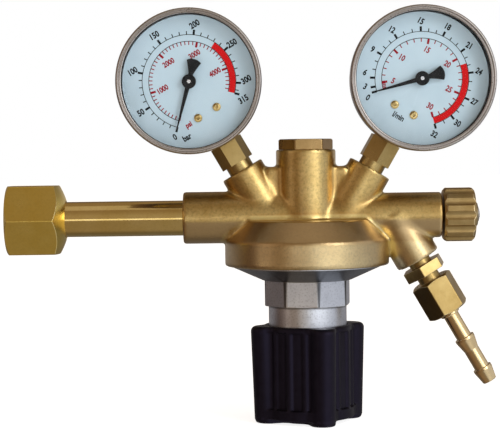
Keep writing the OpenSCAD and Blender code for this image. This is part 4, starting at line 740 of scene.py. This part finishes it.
# Each level: height, wall between the lobes, how far the lobes draw in, rounding
levels = [(KNOB_BOTTOM, KNOB_SOLE, 0.6, 1.2), (rise_at - 0.05, KNOB_SOLE, 0, 0.2)]
levels.append((rise_at + 0.05, foot, 0, 0.5))
levels += [(z, foot, 0, 0) for z in (rise_at + 1.4, foot_at - 0.9, foot_at - 0.3)]
levels += [(z, KNOB_WALL, 0, 0) for z in ribbed]
levels.append((lip_at + 0.25, lip, 0, 0))
for turn in np.radians((15, 35, 55, 75, 90)):
    inset = TOP_ROUND * (1 - math.cos(turn))
    levels.append((KNOB_TOP - TOP_ROUND * (1 - math.sin(turn)), lip - 0.45 * inset, inset, 0))
knob = [(0, KNOB_BOTTOM + 1.0, 0), (11.2, KNOB_BOTTOM + 1.0, 0.5), (12.0, KNOB_BOTTOM + 0.02, 0.4)]
for z, wall, inset, rounding in levels:
    tip = KNOB_TIP - inset - KNOB_DRAFT * (KNOB_TOP - z) / (KNOB_TOP - KNOB_BOTTOM)
    knob.append((knob_outline(ang, tip, wall, z in ribbed), z, rounding))
knob += [
    (17.5, KNOB_TOP, 0.3), (17.5, KNOB_FLOOR, 0.5), (6.4, KNOB_FLOOR, 0.2), (6.4, KNOB_SOCKET, 0),
    (0, KNOB_SOCKET, 0),
]
stand_for(shaped("knob_skin", BODY, ang, knob, PLASTIC, 5, closed=False), "adjusting_knob")

# ---- outlet valve knob

WHEEL_LOW, WHEEL_HIGH, WHEEL_R, WHEEL_CHAMFER, WHEEL_BORE = 60.0, 73.7, 11.95, 1.2, 2.55
FLUTES, FLUTE_R, FLUTE_DEPTH, FLUTE_BLEND = 12, 2.4, 1.0, 0.35
WASHER_LOW, WASHER_HIGH = WHEEL_HIGH - 0.2, 75.2

ang = circle_angles(FLUTES * 26)
from_flute = np.abs((ang + math.pi / FLUTES) % (TAU / FLUTES) - math.pi / FLUTES)
centre = WHEEL_R - FLUTE_DEPTH + FLUTE_R
hit = FLUTE_R**2 - (centre * np.sin(from_flute)) ** 2
flute = np.where(hit > 0, centre * np.cos(from_flute) - np.sqrt(np.maximum(hit, 0)), WHEEL_R)
h = smin(np.full(len(ang), WHEEL_R), flute, FLUTE_BLEND)
tip = WHEEL_R - WHEEL_CHAMFER
drop = WHEEL_CHAMFER * np.clip((h - tip) / WHEEL_CHAMFER, 0.1, 1)
wheel = [
    (WHEEL_BORE, WHEEL_LOW, 0), (np.minimum(h, tip), WHEEL_LOW, 0.5), (h, WHEEL_LOW + drop, 0.8),
    (h, WHEEL_HIGH - drop, 0.8), (np.minimum(h, tip), WHEEL_HIGH, 0.5), (6.4, WHEEL_HIGH, 0.1),
    (6.0, WHEEL_HIGH - 0.25, 0.1), (WHEEL_BORE, WHEEL_HIGH - 0.25, 0),
]
stand_for(shaped("valve_knob_skin", VALVE, ang, wheel, FLUTED), "outlet_valve_knob")
washer = [(1.45, WASHER_LOW, 0), (5.2, WASHER_LOW, 0.15), (5.2, WASHER_HIGH, 0.45), (1.45, WASHER_HIGH, 0.2)]
# washer coloured as painted shadow
stand_for(lathe("knob_washer_skin", VALVE, washer, WASHER_PAINTED_SHADOW, 64), "knob_washer")
dome = [
    (0, 76.4, 0), (1.5, 76.26, 0.6), (3.0, 75.82, 0.6), (3.7, 75.49, 0.5), (4.0, WASHER_HIGH, 0.1),
    (1.4, 75.15, 0), (1.4, 65.75, 0.2), (0, 65.75, 0),
]
stand_for(lathe("knob_screw_skin", VALVE, dome, PLATED, 48, closed=False), "knob_screw")

# ---- outlet

HEX_AF, HEX_CORNER, HEX_END_SHARE = 17.0, 0.45, 0.97
ADAPTER_TURN, OUTLET_NUT_TURN = 42, 49
NUT_LOW, NUT_HIGH = 33.2, 49.5

ang, h = prism(6, HEX_AF, ADAPTER_TURN, HEX_CORNER, 8)
adapter = [
    (2.2, 15.7, 0), (6.5, 15.7, 0.3), (6.5, 22.7, 0.2), (5.0, 22.7, 0.2), (5.0, 25.2, 0.25), (h, 25.2, 0.3),
    (h, 30.0, 0.3), (5.0, 30.0, 0.25), (5.0, 33.2, 0.2), (6.5, 33.2, 0.3), (6.5, 42.7, 0.4), (2.2, 42.7, 0.3),
]
stand_for(shaped("outlet_adapter_skin", OUTLET, ang, adapter, MACHINED), "outlet_adapter")

ang, h = prism(6, HEX_AF, OUTLET_NUT_TURN, HEX_CORNER, 8)
end = HEX_AF / 2 * HEX_END_SHARE
drop = np.maximum(h - end, 0.05) * TAN30
outlet_nut = [
    (end, NUT_LOW, 0.35), (h, NUT_LOW + drop, 0.35), (h, NUT_HIGH - drop, 0.35), (end, NUT_HIGH, 0.35),
    (4.8, NUT_HIGH, 0.3), (4.8, 45.4, 0.1), (6.8, 45.4, 0), (6.8, NUT_LOW, 0.3),
]
stand_for(shaped("outlet_nut_skin", OUTLET, ang, outlet_nut, MACHINED), "outlet_nut")

tail = [
    (2.2, 42.7, 0.2), (6.0, 42.7, 0.3), (6.0, 45.1, 0.3), (4.4, 45.1, 0), (4.4, 51.0, 0.35),
    (3.45, 51.0, 0.3), (3.45, 62.7, 0.25), (4.5, 62.7, 0.2), (4.5, 63.9, 0.4), (3.4, 68.9, 1.6),
    (3.4, 78.2, 0.2), (4.3, 78.2, 0.2), (4.3, 79.4, 0.4), (3.15, 85.2, 0.5), (2.2, 85.2, 0.3),
]
stand_for(lathe("hose_tail_skin", OUTLET, tail, CREAM, 80), "hose_tail")

# ---- gauges

DIAL_Z, ZERO, SWEEP = 8.0, 45.0, 270.0
OUTER, OUTER_TICK, OUTER_TEXT = 20.4, 22.0, 24.9
INNER, INNER_TICK, INNER_TEXT = 17.5, 15.9, 12.6
ARC_HALF, ARC_GAP = 0.14, 0.16
MAJOR_WIDTH, MINOR_WIDTH = 0.95, 0.42
BOLD, LESS_BOLD = 0.14, 0.12


def evaluated(obj):
    """A new mesh of an object as its modifiers leave it."""
    bpy.context.view_layer.update()
    return bpy.data.meshes.new_from_object(obj.evaluated_get(bpy.context.evaluated_depsgraph_get()))


def cut_away(obj, cutters):
    """Cuts closed meshes out of a piece for good, then removes them."""
    for c in cutters:
        mod = obj.modifiers.new("cut", "BOOLEAN")
        mod.operation, mod.solver, mod.object = "DIFFERENCE", "EXACT", c
    result = evaluated(obj)
    obj.modifiers.clear()
    obj.data = result
    for c in cutters:
        bpy.data.objects.remove(c)
    result.set_sharp_from_angle(angle=math.radians(SHARP))
    return obj


def peg(place, r, z0, z1, n=32):
    """A plain cylinder to cut a hole with."""
    return lathe("hole", place, [(0, z0, 0), (r, z0, 0), (r, z1, 0), (0, z1, 0)], SATIN, n, closed=False)


def dial_angle(share):
    """Angle on the face at a share of the scale, which runs clockwise from its zero at the lower left."""
    return math.radians(-90 - ZERO - SWEEP * share)


class Inked:
    """Printed marks of three inks, as thin closed plates on a dial."""

    LOW, HIGH = DIAL_Z - 0.02, DIAL_Z + 0.03
    NARROW = 0.80
    ARC_STEP = math.radians(2.5)

    def __init__(self):
        self.verts, self.faces, self.ink = [], [], []

    def plate(self, a, b, ink):
        """A flat ribbon between two sides of n points each."""
        n, low = len(a), len(self.verts)
        for z in (self.LOW, self.HIGH):
            self.verts += [(x, y, z) for x, y in [*a, *b]]
        top = low + 2 * n
        new = []
        for i in range(n - 1):
            p, q, u, v = low + i, low + n + i, top + i, top + n + i
            new += [(u, u + 1, v + 1, v), (p, q, q + 1, p + 1), (p, p + 1, u + 1, u), (q + 1, q, v, v + 1)]
        new += [(low, top, top + n, low + n), (low + n - 1, low + 2 * n - 1, top + 2 * n - 1, top + n - 1)]
        self.faces += new
        self.ink += [ink] * len(new)

    def tick(self, share, r0, r1, width, ink):
        a = dial_angle(share)
        c, s = math.cos(a), math.sin(a)
        sides = [[(r * c - o * s, r * s + o * c) for r in (r0, r1)] for o in (-width / 2, width / 2)]
        self.plate(*sides, ink)

    def outer_tick(self, share, major):
        longer, width = (0.6, MAJOR_WIDTH) if major else (-0.1, MINOR_WIDTH)
        self.tick(share, OUTER, OUTER_TICK + longer, width, BLACK_INK)

    def inner_tick(self, share, major):
        longer, width = (0.8, MAJOR_WIDTH) if major else (0.0, MINOR_WIDTH)
        self.tick(share, INNER_TICK - longer, INNER, width, MAROON_INK)

    def arc(self, r0, r1, start, ink):
        """An arc from a share of the scale to its end."""
        a0, a1 = dial_angle(start), dial_angle(1)
        t = np.linspace(a0, a1, max(2, int(abs(a1 - a0) / self.ARC_STEP) + 1))
        self.plate(*[[(r * math.cos(a), r * math.sin(a)) for a in t] for r in (r0, r1)], ink)

    def scale(self, red_from):
        """Both scale lines, and the red arc between them."""
        self.arc(OUTER - ARC_HALF, OUTER + ARC_HALF, 0, BLACK_INK)
        self.arc(INNER - ARC_HALF, INNER + ARC_HALF, 0, BLACK_INK)
        self.arc(INNER + ARC_GAP, OUTER - ARC_GAP, red_from, RED_INK)

    def words(self, text, x, y, size, ink, bold):
        curve = bpy.data.curves.new("label", "FONT")
        curve.body, curve.size = text, size
        curve.align_x, curve.align_y = "CENTER", "CENTER"
        curve.extrude = (self.HIGH - self.LOW) / 2
        curve.offset, curve.resolution_u = bold, 3
        holder = linked("label", curve)
        mesh = evaluated(holder)
        base, mid = len(self.verts), (self.HIGH + self.LOW) / 2
        self.verts += [(self.NARROW * v.co.x + x, v.co.y + y, v.co.z + mid) for v in mesh.vertices]
        for f in mesh.polygons:
            self.faces.append([base + i for i in f.vertices])
            self.ink.append(ink)
        bpy.data.objects.remove(holder)
        bpy.data.curves.remove(curve)
        bpy.data.meshes.remove(mesh)

    def label(self, value, share, r, size, ink, bold):
        a = dial_angle(share)
        self.words(str(value), r * math.cos(a), r * math.sin(a), size, ink, bold)


BAR_TOP, BAR_RED, PSI_TOP = 315, 232, 4569.0
BAR_NUDGE = {300: -0.012, 315: 0.014}


def supply_marks():
    ink = Inked()
    ink.scale(BAR_RED / BAR_TOP)
    for v in [*range(0, 311, 10), BAR_TOP]:
        ink.outer_tick(v / BAR_TOP, v % 50 == 0 or v == BAR_TOP)
    for v in [*range(0, 301, 50), BAR_TOP]:
        ink.label(v, v / BAR_TOP + BAR_NUDGE.get(v, 0.0), OUTER_TEXT, 3.7, BLACK_INK, BOLD)
    for v in range(0, 4501, 100):
        ink.inner_tick(v / PSI_TOP, v % 1000 == 0)
    for v in range(1000, 4001, 1000):
        ink.label(v, v / PSI_TOP, INNER_TEXT - 0.6, 3.3, MAROON_INK, LESS_BOLD)
    ink.words("bar", -13.2, -20.4, 3.6, BLACK_INK, BOLD)
    ink.words("psi", -9.7, -16.0, 3.2, MAROON_INK, LESS_BOLD)
    return ink


# Shares of the outer scale, and degrees on the inner one, whose zero stands at INNER_ZERO
FLOW_OUTER = {
    0: 0.0, 3: 0.022, 6: 0.062, 9: 0.171, 12: 0.273, 15: 0.386, 18: 0.489, 21: 0.597, 24: 0.700, 27: 0.815,
    30: 0.916, 32: 1.0,
}
FLOW_INNER = {5: 85.8, 10: 136.5, 15: 190.3, 20: 241.7, 25: 292.7, 30: 344.7}
FLOW_NUDGE = {0: -0.014, 3: 0.006, 6: 0.018, 32: 0.012}
FLOW_TOP, FLOW_RED, INNER_ZERO = 32, 0.655, 75.0


def flow_marks():
    ink = Inked()
    ink.scale(FLOW_RED)
    for v in (*range(6, FLOW_TOP + 1), 0, 3):
        share = float(np.interp(v, list(FLOW_OUTER), list(FLOW_OUTER.values())))
        ink.outer_tick(share, v % 3 == 0 or v == FLOW_TOP)
    for v, share in FLOW_OUTER.items():
        ink.label(v, share + FLOW_NUDGE.get(v, 0.0), OUTER_TEXT, 3.6, BLACK_INK, BOLD)
    knots, where = [0.0, *FLOW_INNER], [INNER_ZERO, *FLOW_INNER.values()]
    for v in range(1, 31):
        ink.inner_tick((float(np.interp(v, knots, where)) - INNER_ZERO) / SWEEP, v % 5 == 0)
    for v, degrees in FLOW_INNER.items():
        ink.label(v, (degrees - INNER_ZERO) / SWEEP, INNER_TEXT, 3.5, MAROON_INK, LESS_BOLD)
    ink.words("l/min", -0.8, -19.4, 3.4, BLACK_INK, LESS_BOLD)
    return ink


MARKS = {"supply": supply_marks, "flow": flow_marks}

CASE = [
    (29.5, -10.0, 0.8), (29.5, 13.0, 0), (30.5, 13.0, 0.15), (30.5, -11.0, 2.0), (0.0, -11.0, 0),
    (0.0, -10.0, 0),
]
BEZEL = [
    (30.55, 9.0, 0.1), (31.55, 9.0, 0.5), (31.55, 15.6, 0.7), (31.0, 16.5, 0.5), (30.45, 16.5, 0.2),
    (30.25, 15.75, 0.1), (29.75, 15.75, 0.1), (29.6, 16.1, 0.15), (29.15, 15.95, 0.15), (29.15, 15.5, 0),
    (30.55, 15.5, 0),
]
PANE = [(0, 13.6, 0), (30.45, 13.6, 0.1), (30.45, 15.5, 0.1), (0, 15.5, 0)]
DIAL_PLATE = [(1.1, 7.4, 0), (29.1, 7.4, 0.08), (29.1, DIAL_Z, 0.15), (1.1, DIAL_Z, 0.1)]
SOCKET_HOLE = (5.75, -61.0, -28.4)
PLUG_AT, PLUG_HOLE_R = (0, 9), 5.55
CASE_SCREWS_AT, CASE_SCREW_HOLE_R = ((-4.5, -20), (4.5, -20)), 1.55
DIAL_SCREWS_AT, DIAL_SCREW_HOLE_R = ((-4.7, -15.6), (4.7, -15.6)), 0.8
BACK_CUT, DIAL_CUT = (-12.0, -9.0), (6.0, 9.0)
POINTER_HALF = [
    (0.25, 21.5), (1.1, 0), (1.1, -3.6), (1.9, -5.9), (3.2, -8.9), (2.4, -9.42), (1.3, -9.84), (0.0, -10.0),
]
POINTER_LOW, POINTER_HIGH, POINTER_EDGE, POINTER_DRAW_IN = 9.8, 10.4, 0.12, 0.03
HUB, HUB_STEPS = np.array([(0.85, 9.8, 0), (3.1, 9.8, 0), (3.1, 10.8, 0.3), (0.85, 10.8, 0.1)]), 40


def pointer_mesh():
    """Points and faces of the flat pointer, its front edge bevelled, and of the hub on it."""
    p = np.asarray(POINTER_HALF + [(-x, y) for x, y in POINTER_HALF[-2::-1]], float)
    n, c = len(p), p.mean(0)
    front = c + (p - c) * (1 - POINTER_DRAW_IN)
    rows = ((p, POINTER_LOW), (p, POINTER_HIGH - POINTER_EDGE), (front, POINTER_HIGH))
    verts = [(x, y, z) for row, z in rows for x, y in row]
    faces = [list(range(n - 1, -1, -1)), list(range(2 * n, 3 * n))]
    for i in range(n):
        j = (i + 1) % n
        faces += [(i, j, n + j, n + i), (n + i, n + j, 2 * n + j, 2 * n + i)]
    rings, _ = fillet(HUB[None, :, :2], HUB[:, 2])
    hub, quads = sweep(circle_angles(HUB_STEPS), np.repeat(rings, HUB_STEPS, 0))
    return verts + [tuple(v) for v in hub], faces + [tuple(f) for f in quads + len(verts)]


for gauge, side in SIDES.items():
    at = face(side)
    holes = [peg(stem(side) @ shift(z=STEM_LEN), *SOCKET_HOLE)]
    holes.append(peg(at @ shift(*PLUG_AT), PLUG_HOLE_R, *BACK_CUT))
    holes += [peg(at @ shift(*spot), CASE_SCREW_HOLE_R, *BACK_CUT) for spot in CASE_SCREWS_AT]
    case = lathe(gauge + "_case_skin", at, CASE, SATIN, 128, 6)
    stand_for(cut_away(case, holes), gauge + "_case")
    stand_for(lathe(gauge + "_bezel_skin", at, BEZEL, SATIN, 160, 6), gauge + "_bezel")
    stand_for(lathe(gauge + "_window_pane", at, PANE, GLASS, closed=False), gauge + "_window")
    holes = [peg(at @ shift(*spot), DIAL_SCREW_HOLE_R, *DIAL_CUT, 16) for spot in DIAL_SCREWS_AT]
    stand_for(cut_away(lathe(gauge + "_dial_plate", at, DIAL_PLATE, DIAL), holes), gauge + "_dial")
    ink = MARKS[gauge]()
    marks = build(
        gauge + "_dial_marks", ink.verts, ink.faces, at, INKS, face_material=ink.ink, weighted=False, sharp=20
    )
    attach(marks, "root")
    needle = build(gauge + "_pointer_skin", *pointer_mesh(), at @ turn_z(-180 - ZERO), [POINTER])
    stand_for(needle, gauge + "_pointer")

# ---- screws and plugs of both gauges

PLUG = [
    (0, -11.6, 0), (3.6, -11.6, 0.4), (4.4, -12.2, 0.4), (8.0, -12.2, 0.6), (8.0, -11.0, 0.2),
    (5.5, -11.0, 0), (5.5, -10.0, 0), (6.5, -10.0, 0.2), (5.7, -9.0, 0.3), (0, -9.0, 0),
]
# Head radius, head from and to, shank radius and end, slot width
DIAL_SCREW = (1.8, 8.0, 8.9, 0.75, 4.4, 0.45)
CASE_SCREW = (2.7, -11.0, -12.6, 1.5, -6.4, 0.7)
SLOT_SHARE = 0.45


def joined(name, parts):
    """One mesh object from several."""
    bm = bmesh.new()
    for o in parts:
        bm.from_mesh(o.data)
    mesh = bpy.data.meshes.new(name)
    bm.to_mesh(mesh)
    bm.free()
    for m in parts[0].data.materials:
        mesh.materials.append(m)
    mesh.set_sharp_from_angle(angle=math.radians(SHARP))
    for o in parts:
        bpy.data.objects.remove(o)
    return linked(name, mesh)


def slotted(place, head_r, z0, z1, shank_r, shank_z, slot_w, turn, material):
    """A screw with a domed head and a slot across it."""
    tall = z1 - z0
    slot_z = z1 - SLOT_SHARE * tall
    profile = [
        (0, z1, 0), (0.55 * head_r, z1 - 0.06 * tall, 0.5), (head_r, slot_z, 0.25), (head_r, z0, 0.1),
        (shank_r, z0, 0), (shank_r, shank_z, 0.1), (0, shank_z, 0),
    ]
    screw = lathe("screw", place, profile, material, 40, closed=False)
    x, y, over = 3 * head_r, slot_w / 2, z1 + math.copysign(1, tall)
    outline = ((-x, -y), (x, -y), (x, y), (-x, y))
    corners = [(u, v, z) for z in (slot_z, over) for u, v in outline]
    quads = [(0, 1, 2, 3), (4, 5, 6, 7), (0, 1, 5, 4), (1, 2, 6, 5), (2, 3, 7, 6), (3, 0, 4, 7)]
    return cut_away(screw, [build("slot", corners, quads, place @ turn_z(turn), [material], weighted=False)])


small, back, plugs = [], [], []
for side in SIDES.values():
    at = face(side)
    for spot, turn in zip(DIAL_SCREWS_AT, (20 * side, 75 + 15 * side)):
        small.append(slotted(at @ shift(*spot), *DIAL_SCREW, turn, MACHINED))
    for spot, turn in zip(CASE_SCREWS_AT, (35 * side, 100 + 25 * side)):
        back.append(slotted(at @ shift(*spot), *CASE_SCREW, turn, PLATED))
    plugs.append(lathe("plug", at @ shift(*PLUG_AT), PLUG, RUBBER, 64, closed=False))
stand_for(joined("dial_screw_heads", small), "dial_screws")
stand_for(joined("case_screw_heads", back), "case_screws")
stand_for(joined("blowout_discs", plugs), "blowout_plugs")

# ---- springs and diaphragm

COIL_STEPS, WIRE_SIDES, FLAT_TURNS = 36, 14, 0.75


def coil_piece(name, mean_d, wire, z0, z1, turns):
    """A compression spring whose end turns lie flat."""
    steps = int(turns * COIL_STEPS)
    s = np.linspace(0, turns, steps + 1)
    ease = np.clip((s - FLAT_TURNS) / (turns - 2 * FLAT_TURNS), 0, 1)
    lead = wire * 0.5 + (z1 - z0 - wire) * ease
    b = circle_angles(WIRE_SIDES)
    a = s * TAU
    r = mean_d / 2 + wire / 2 * np.cos(b)[None]
    z = z0 + lead[:, None] + wire / 2 * np.sin(b)[None]
    verts = np.stack([r * np.cos(a)[:, None], r * np.sin(a)[:, None], z], -1).reshape(-1, 3)
    ends = range(WIRE_SIDES), range(steps * WIRE_SIDES, len(verts))
    faces = [*grid_quads(steps + 1, WIRE_SIDES, open_rows=True), *ends]
    return build(name, verts, faces, BODY, [SPRING], weighted=False, sharp=50)


ADJUST_Z0, ADJUST_Z1 = -49.2, -17.0
spring = stand_for(coil_piece("adjusting_coil", 22.0, 3.0, ADJUST_Z0, ADJUST_Z1, 7), "adjusting_spring")
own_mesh(spring)
spring = stand_for(coil_piece("valve_coil", 7.0, 0.8, 3.0, 11.0, 5), "valve_spring")
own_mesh(spring)
diaphragm = [
    (2.55, -14.0, 0.1), (14.0, -14.0, 2.0), (19.0, -13.95, 2.0), (24.0, -14.0, 2.0), (30.5, -14.0, 0.3),
    (30.5, -12.5, 0.3), (24.0, -12.5, 2.0), (19.0, -12.55, 2.0), (14.0, -12.5, 2.0), (2.55, -12.5, 0.1),
]
sheet = lathe("diaphragm_sheet", BODY, diaphragm, RUBBER)
stand_for(sheet, "diaphragm")
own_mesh(sheet)

# ---- softened edges on the gauges' sockets, which stay as solids

EDGE_WIDTH, EDGE_ANGLE = 0.0003, 25

for gauge in SIDES:
    mod = frame["nodes"][gauge + "_socket"].modifiers.new("edges", "BEVEL")
    mod.limit_method, mod.angle_limit = "ANGLE", math.radians(EDGE_ANGLE)
    mod.width, mod.segments = EDGE_WIDTH, 2
    mod.harden_normals = True

# ---- studio, in metres

FLOOR_Z, FLOOR_HALF, FLOOR_GLOW = KNOB_BOTTOM * MM - 0.0002, 6.0, 0.85
MIDDLE = Vector((0.10, 0.0, -0.01))

# Surroundings as they mirror in the metal, from the left (-1) to the right (1)
SURROUND = (
    (-1.0, (0.11, 0.062, 0.045)), (-0.5, (0.32, 0.225, 0.15)), (-0.12, (0.33, 0.26, 0.18)),
    (0.06, (0.37, 0.34, 0.30)), (0.22, (0.85, 0.85, 0.86)), (0.6, (1.0, 1.0, 1.0)), (1.0, (0.62, 0.62, 0.65)),
)
BEHIND, ABOVE_BEHIND = (0.46, 0.43, 0.42), (0.045, 0.028, 0.026)
OVERHEAD = (0.25, 0.185, 0.12)
# Where one passes into the next, from and to along an axis, then its share there
REAR_RISE, OVERHEAD_RISE, TABLE_RISE = (0.05, 0.35), (0.30, 0.85), (-0.18, 0.08)
REAR_SHARE, TABLE_LEVEL = (0.1, 0.7, 0.0, 0.85), (-0.3, 0.4, 0.78, 0.36)


def studio_floor():
    """A wide, flat, pale floor."""
    corners = ((-1, -1), (1, -1), (1, 1), (-1, 1))
    mesh = bpy.data.meshes.new("floor")
    mesh.from_pydata([(x * FLOOR_HALF, y * FLOOR_HALF, FLOOR_Z) for x, y in corners], [], [(0, 1, 2, 3)])
    obj = linked("floor", mesh)
    s = Shade("floor_paper")
    s.fill(s.bsdf, {
        "Base Color": s.mix(s.noise(3, 2.0), (0.90, 0.90, 0.90), (0.93, 0.93, 0.93)), "Roughness": 0.9,
        "Specular IOR Level": 0.1, "Emission Color": (1.0, 1.0, 1.0), "Emission Strength": FLOOR_GLOW,
    })
    mesh.materials.append(s.mat)
    obj.visible_glossy = False


def area(name, at, size, power, colour=(1, 1, 1)):
    """A soft light aimed at the object's middle."""
    data = bpy.data.lights.new(name, "AREA")
    data.shape, data.size, data.size_y = "RECTANGLE", *size
    data.energy, data.color = power, colour
    obj = linked(name, data)
    obj.location = at
    obj.rotation_mode = "QUATERNION"
    obj.rotation_quaternion = (MIDDLE - Vector(at)).to_track_quat("-Z", "Y")


def around(azimuth, height, distance):
    """A point round the object: degrees to the right of its front and above its middle."""
    a, h = math.radians(azimuth), math.radians(height)
    return MIDDLE + distance * Vector((math.sin(a) * math.cos(h), -math.cos(a) * math.cos(h), math.sin(h)))


def studio_surroundings():
    """Dim and warm on the left, bright on the right, a pale table below, and white straight to the eye."""
    world = scene.world = bpy.data.worlds.new("studio")
    world.use_nodes = True
    world.node_tree.nodes.clear()
    w = Nodes(world.node_tree, "Generated")

    def along(axis):
        return w.node("SeparateXYZ", {0: w.coord}, axis)

    def spread(axis, limits):
        return w.ramp(along(axis), *limits, interpolation_type="SMOOTHSTEP")

    sides = w.node("ValToRGB", {"Fac": w.ramp(along("X"), -1.0, 1.0)}, "Color")
    stops = sides.node.color_ramp.elements
    for i, (x, colour) in enumerate((SURROUND[0], SURROUND[-1])):
        stops[i].position, stops[i].color = (x + 1) / 2, (*colour, 1)
    for x, colour in SURROUND[1:-1]:
        stops.new((x + 1) / 2).color = (*colour, 1)
    rear = w.mix(spread("Z", REAR_RISE), BEHIND, ABOVE_BEHIND)
    walls = w.mix(spread("Y", REAR_SHARE), sides, rear)
    colour = w.mix(spread("Z", OVERHEAD_RISE), walls, OVERHEAD)
    level = w.node("Mix", {"Factor": spread("Z", TABLE_RISE), 2: spread("Y", TABLE_LEVEL), 3: 1.0}, 0)
    room = w.node("Background", {"Color": colour, "Strength": level}, "Background")
    paper = w.node("Background", {"Color": (1.0, 1.0, 1.0)}, "Background")
    direct = w.node("LightPath", {}, "Is Camera Ray")
    both = w.node("MixShader", {0: direct, 1: room, 2: paper}, "Shader")
    w.fill(w.tree.nodes.new("ShaderNodeOutputWorld"), {"Surface": both})


studio_floor()
area("key_right", around(40, 24, 1.35), (0.5, 1.0), 3.6)
area("top_soft", (0.15, -0.10, 1.2), (1.0, 0.7), 0.4)
area("front_strip", around(3, -1.5, 1.5), (1.6, 0.20), 1.0)
area("left_warm", around(-62, 12, 1.3), (0.5, 0.9), 0.7, (1.0, 0.84, 0.68))
studio_surroundings()

scene.view_settings.view_transform = "Standard"
scene.view_settings.look = "None"
scene.view_settings.exposure = 0.0
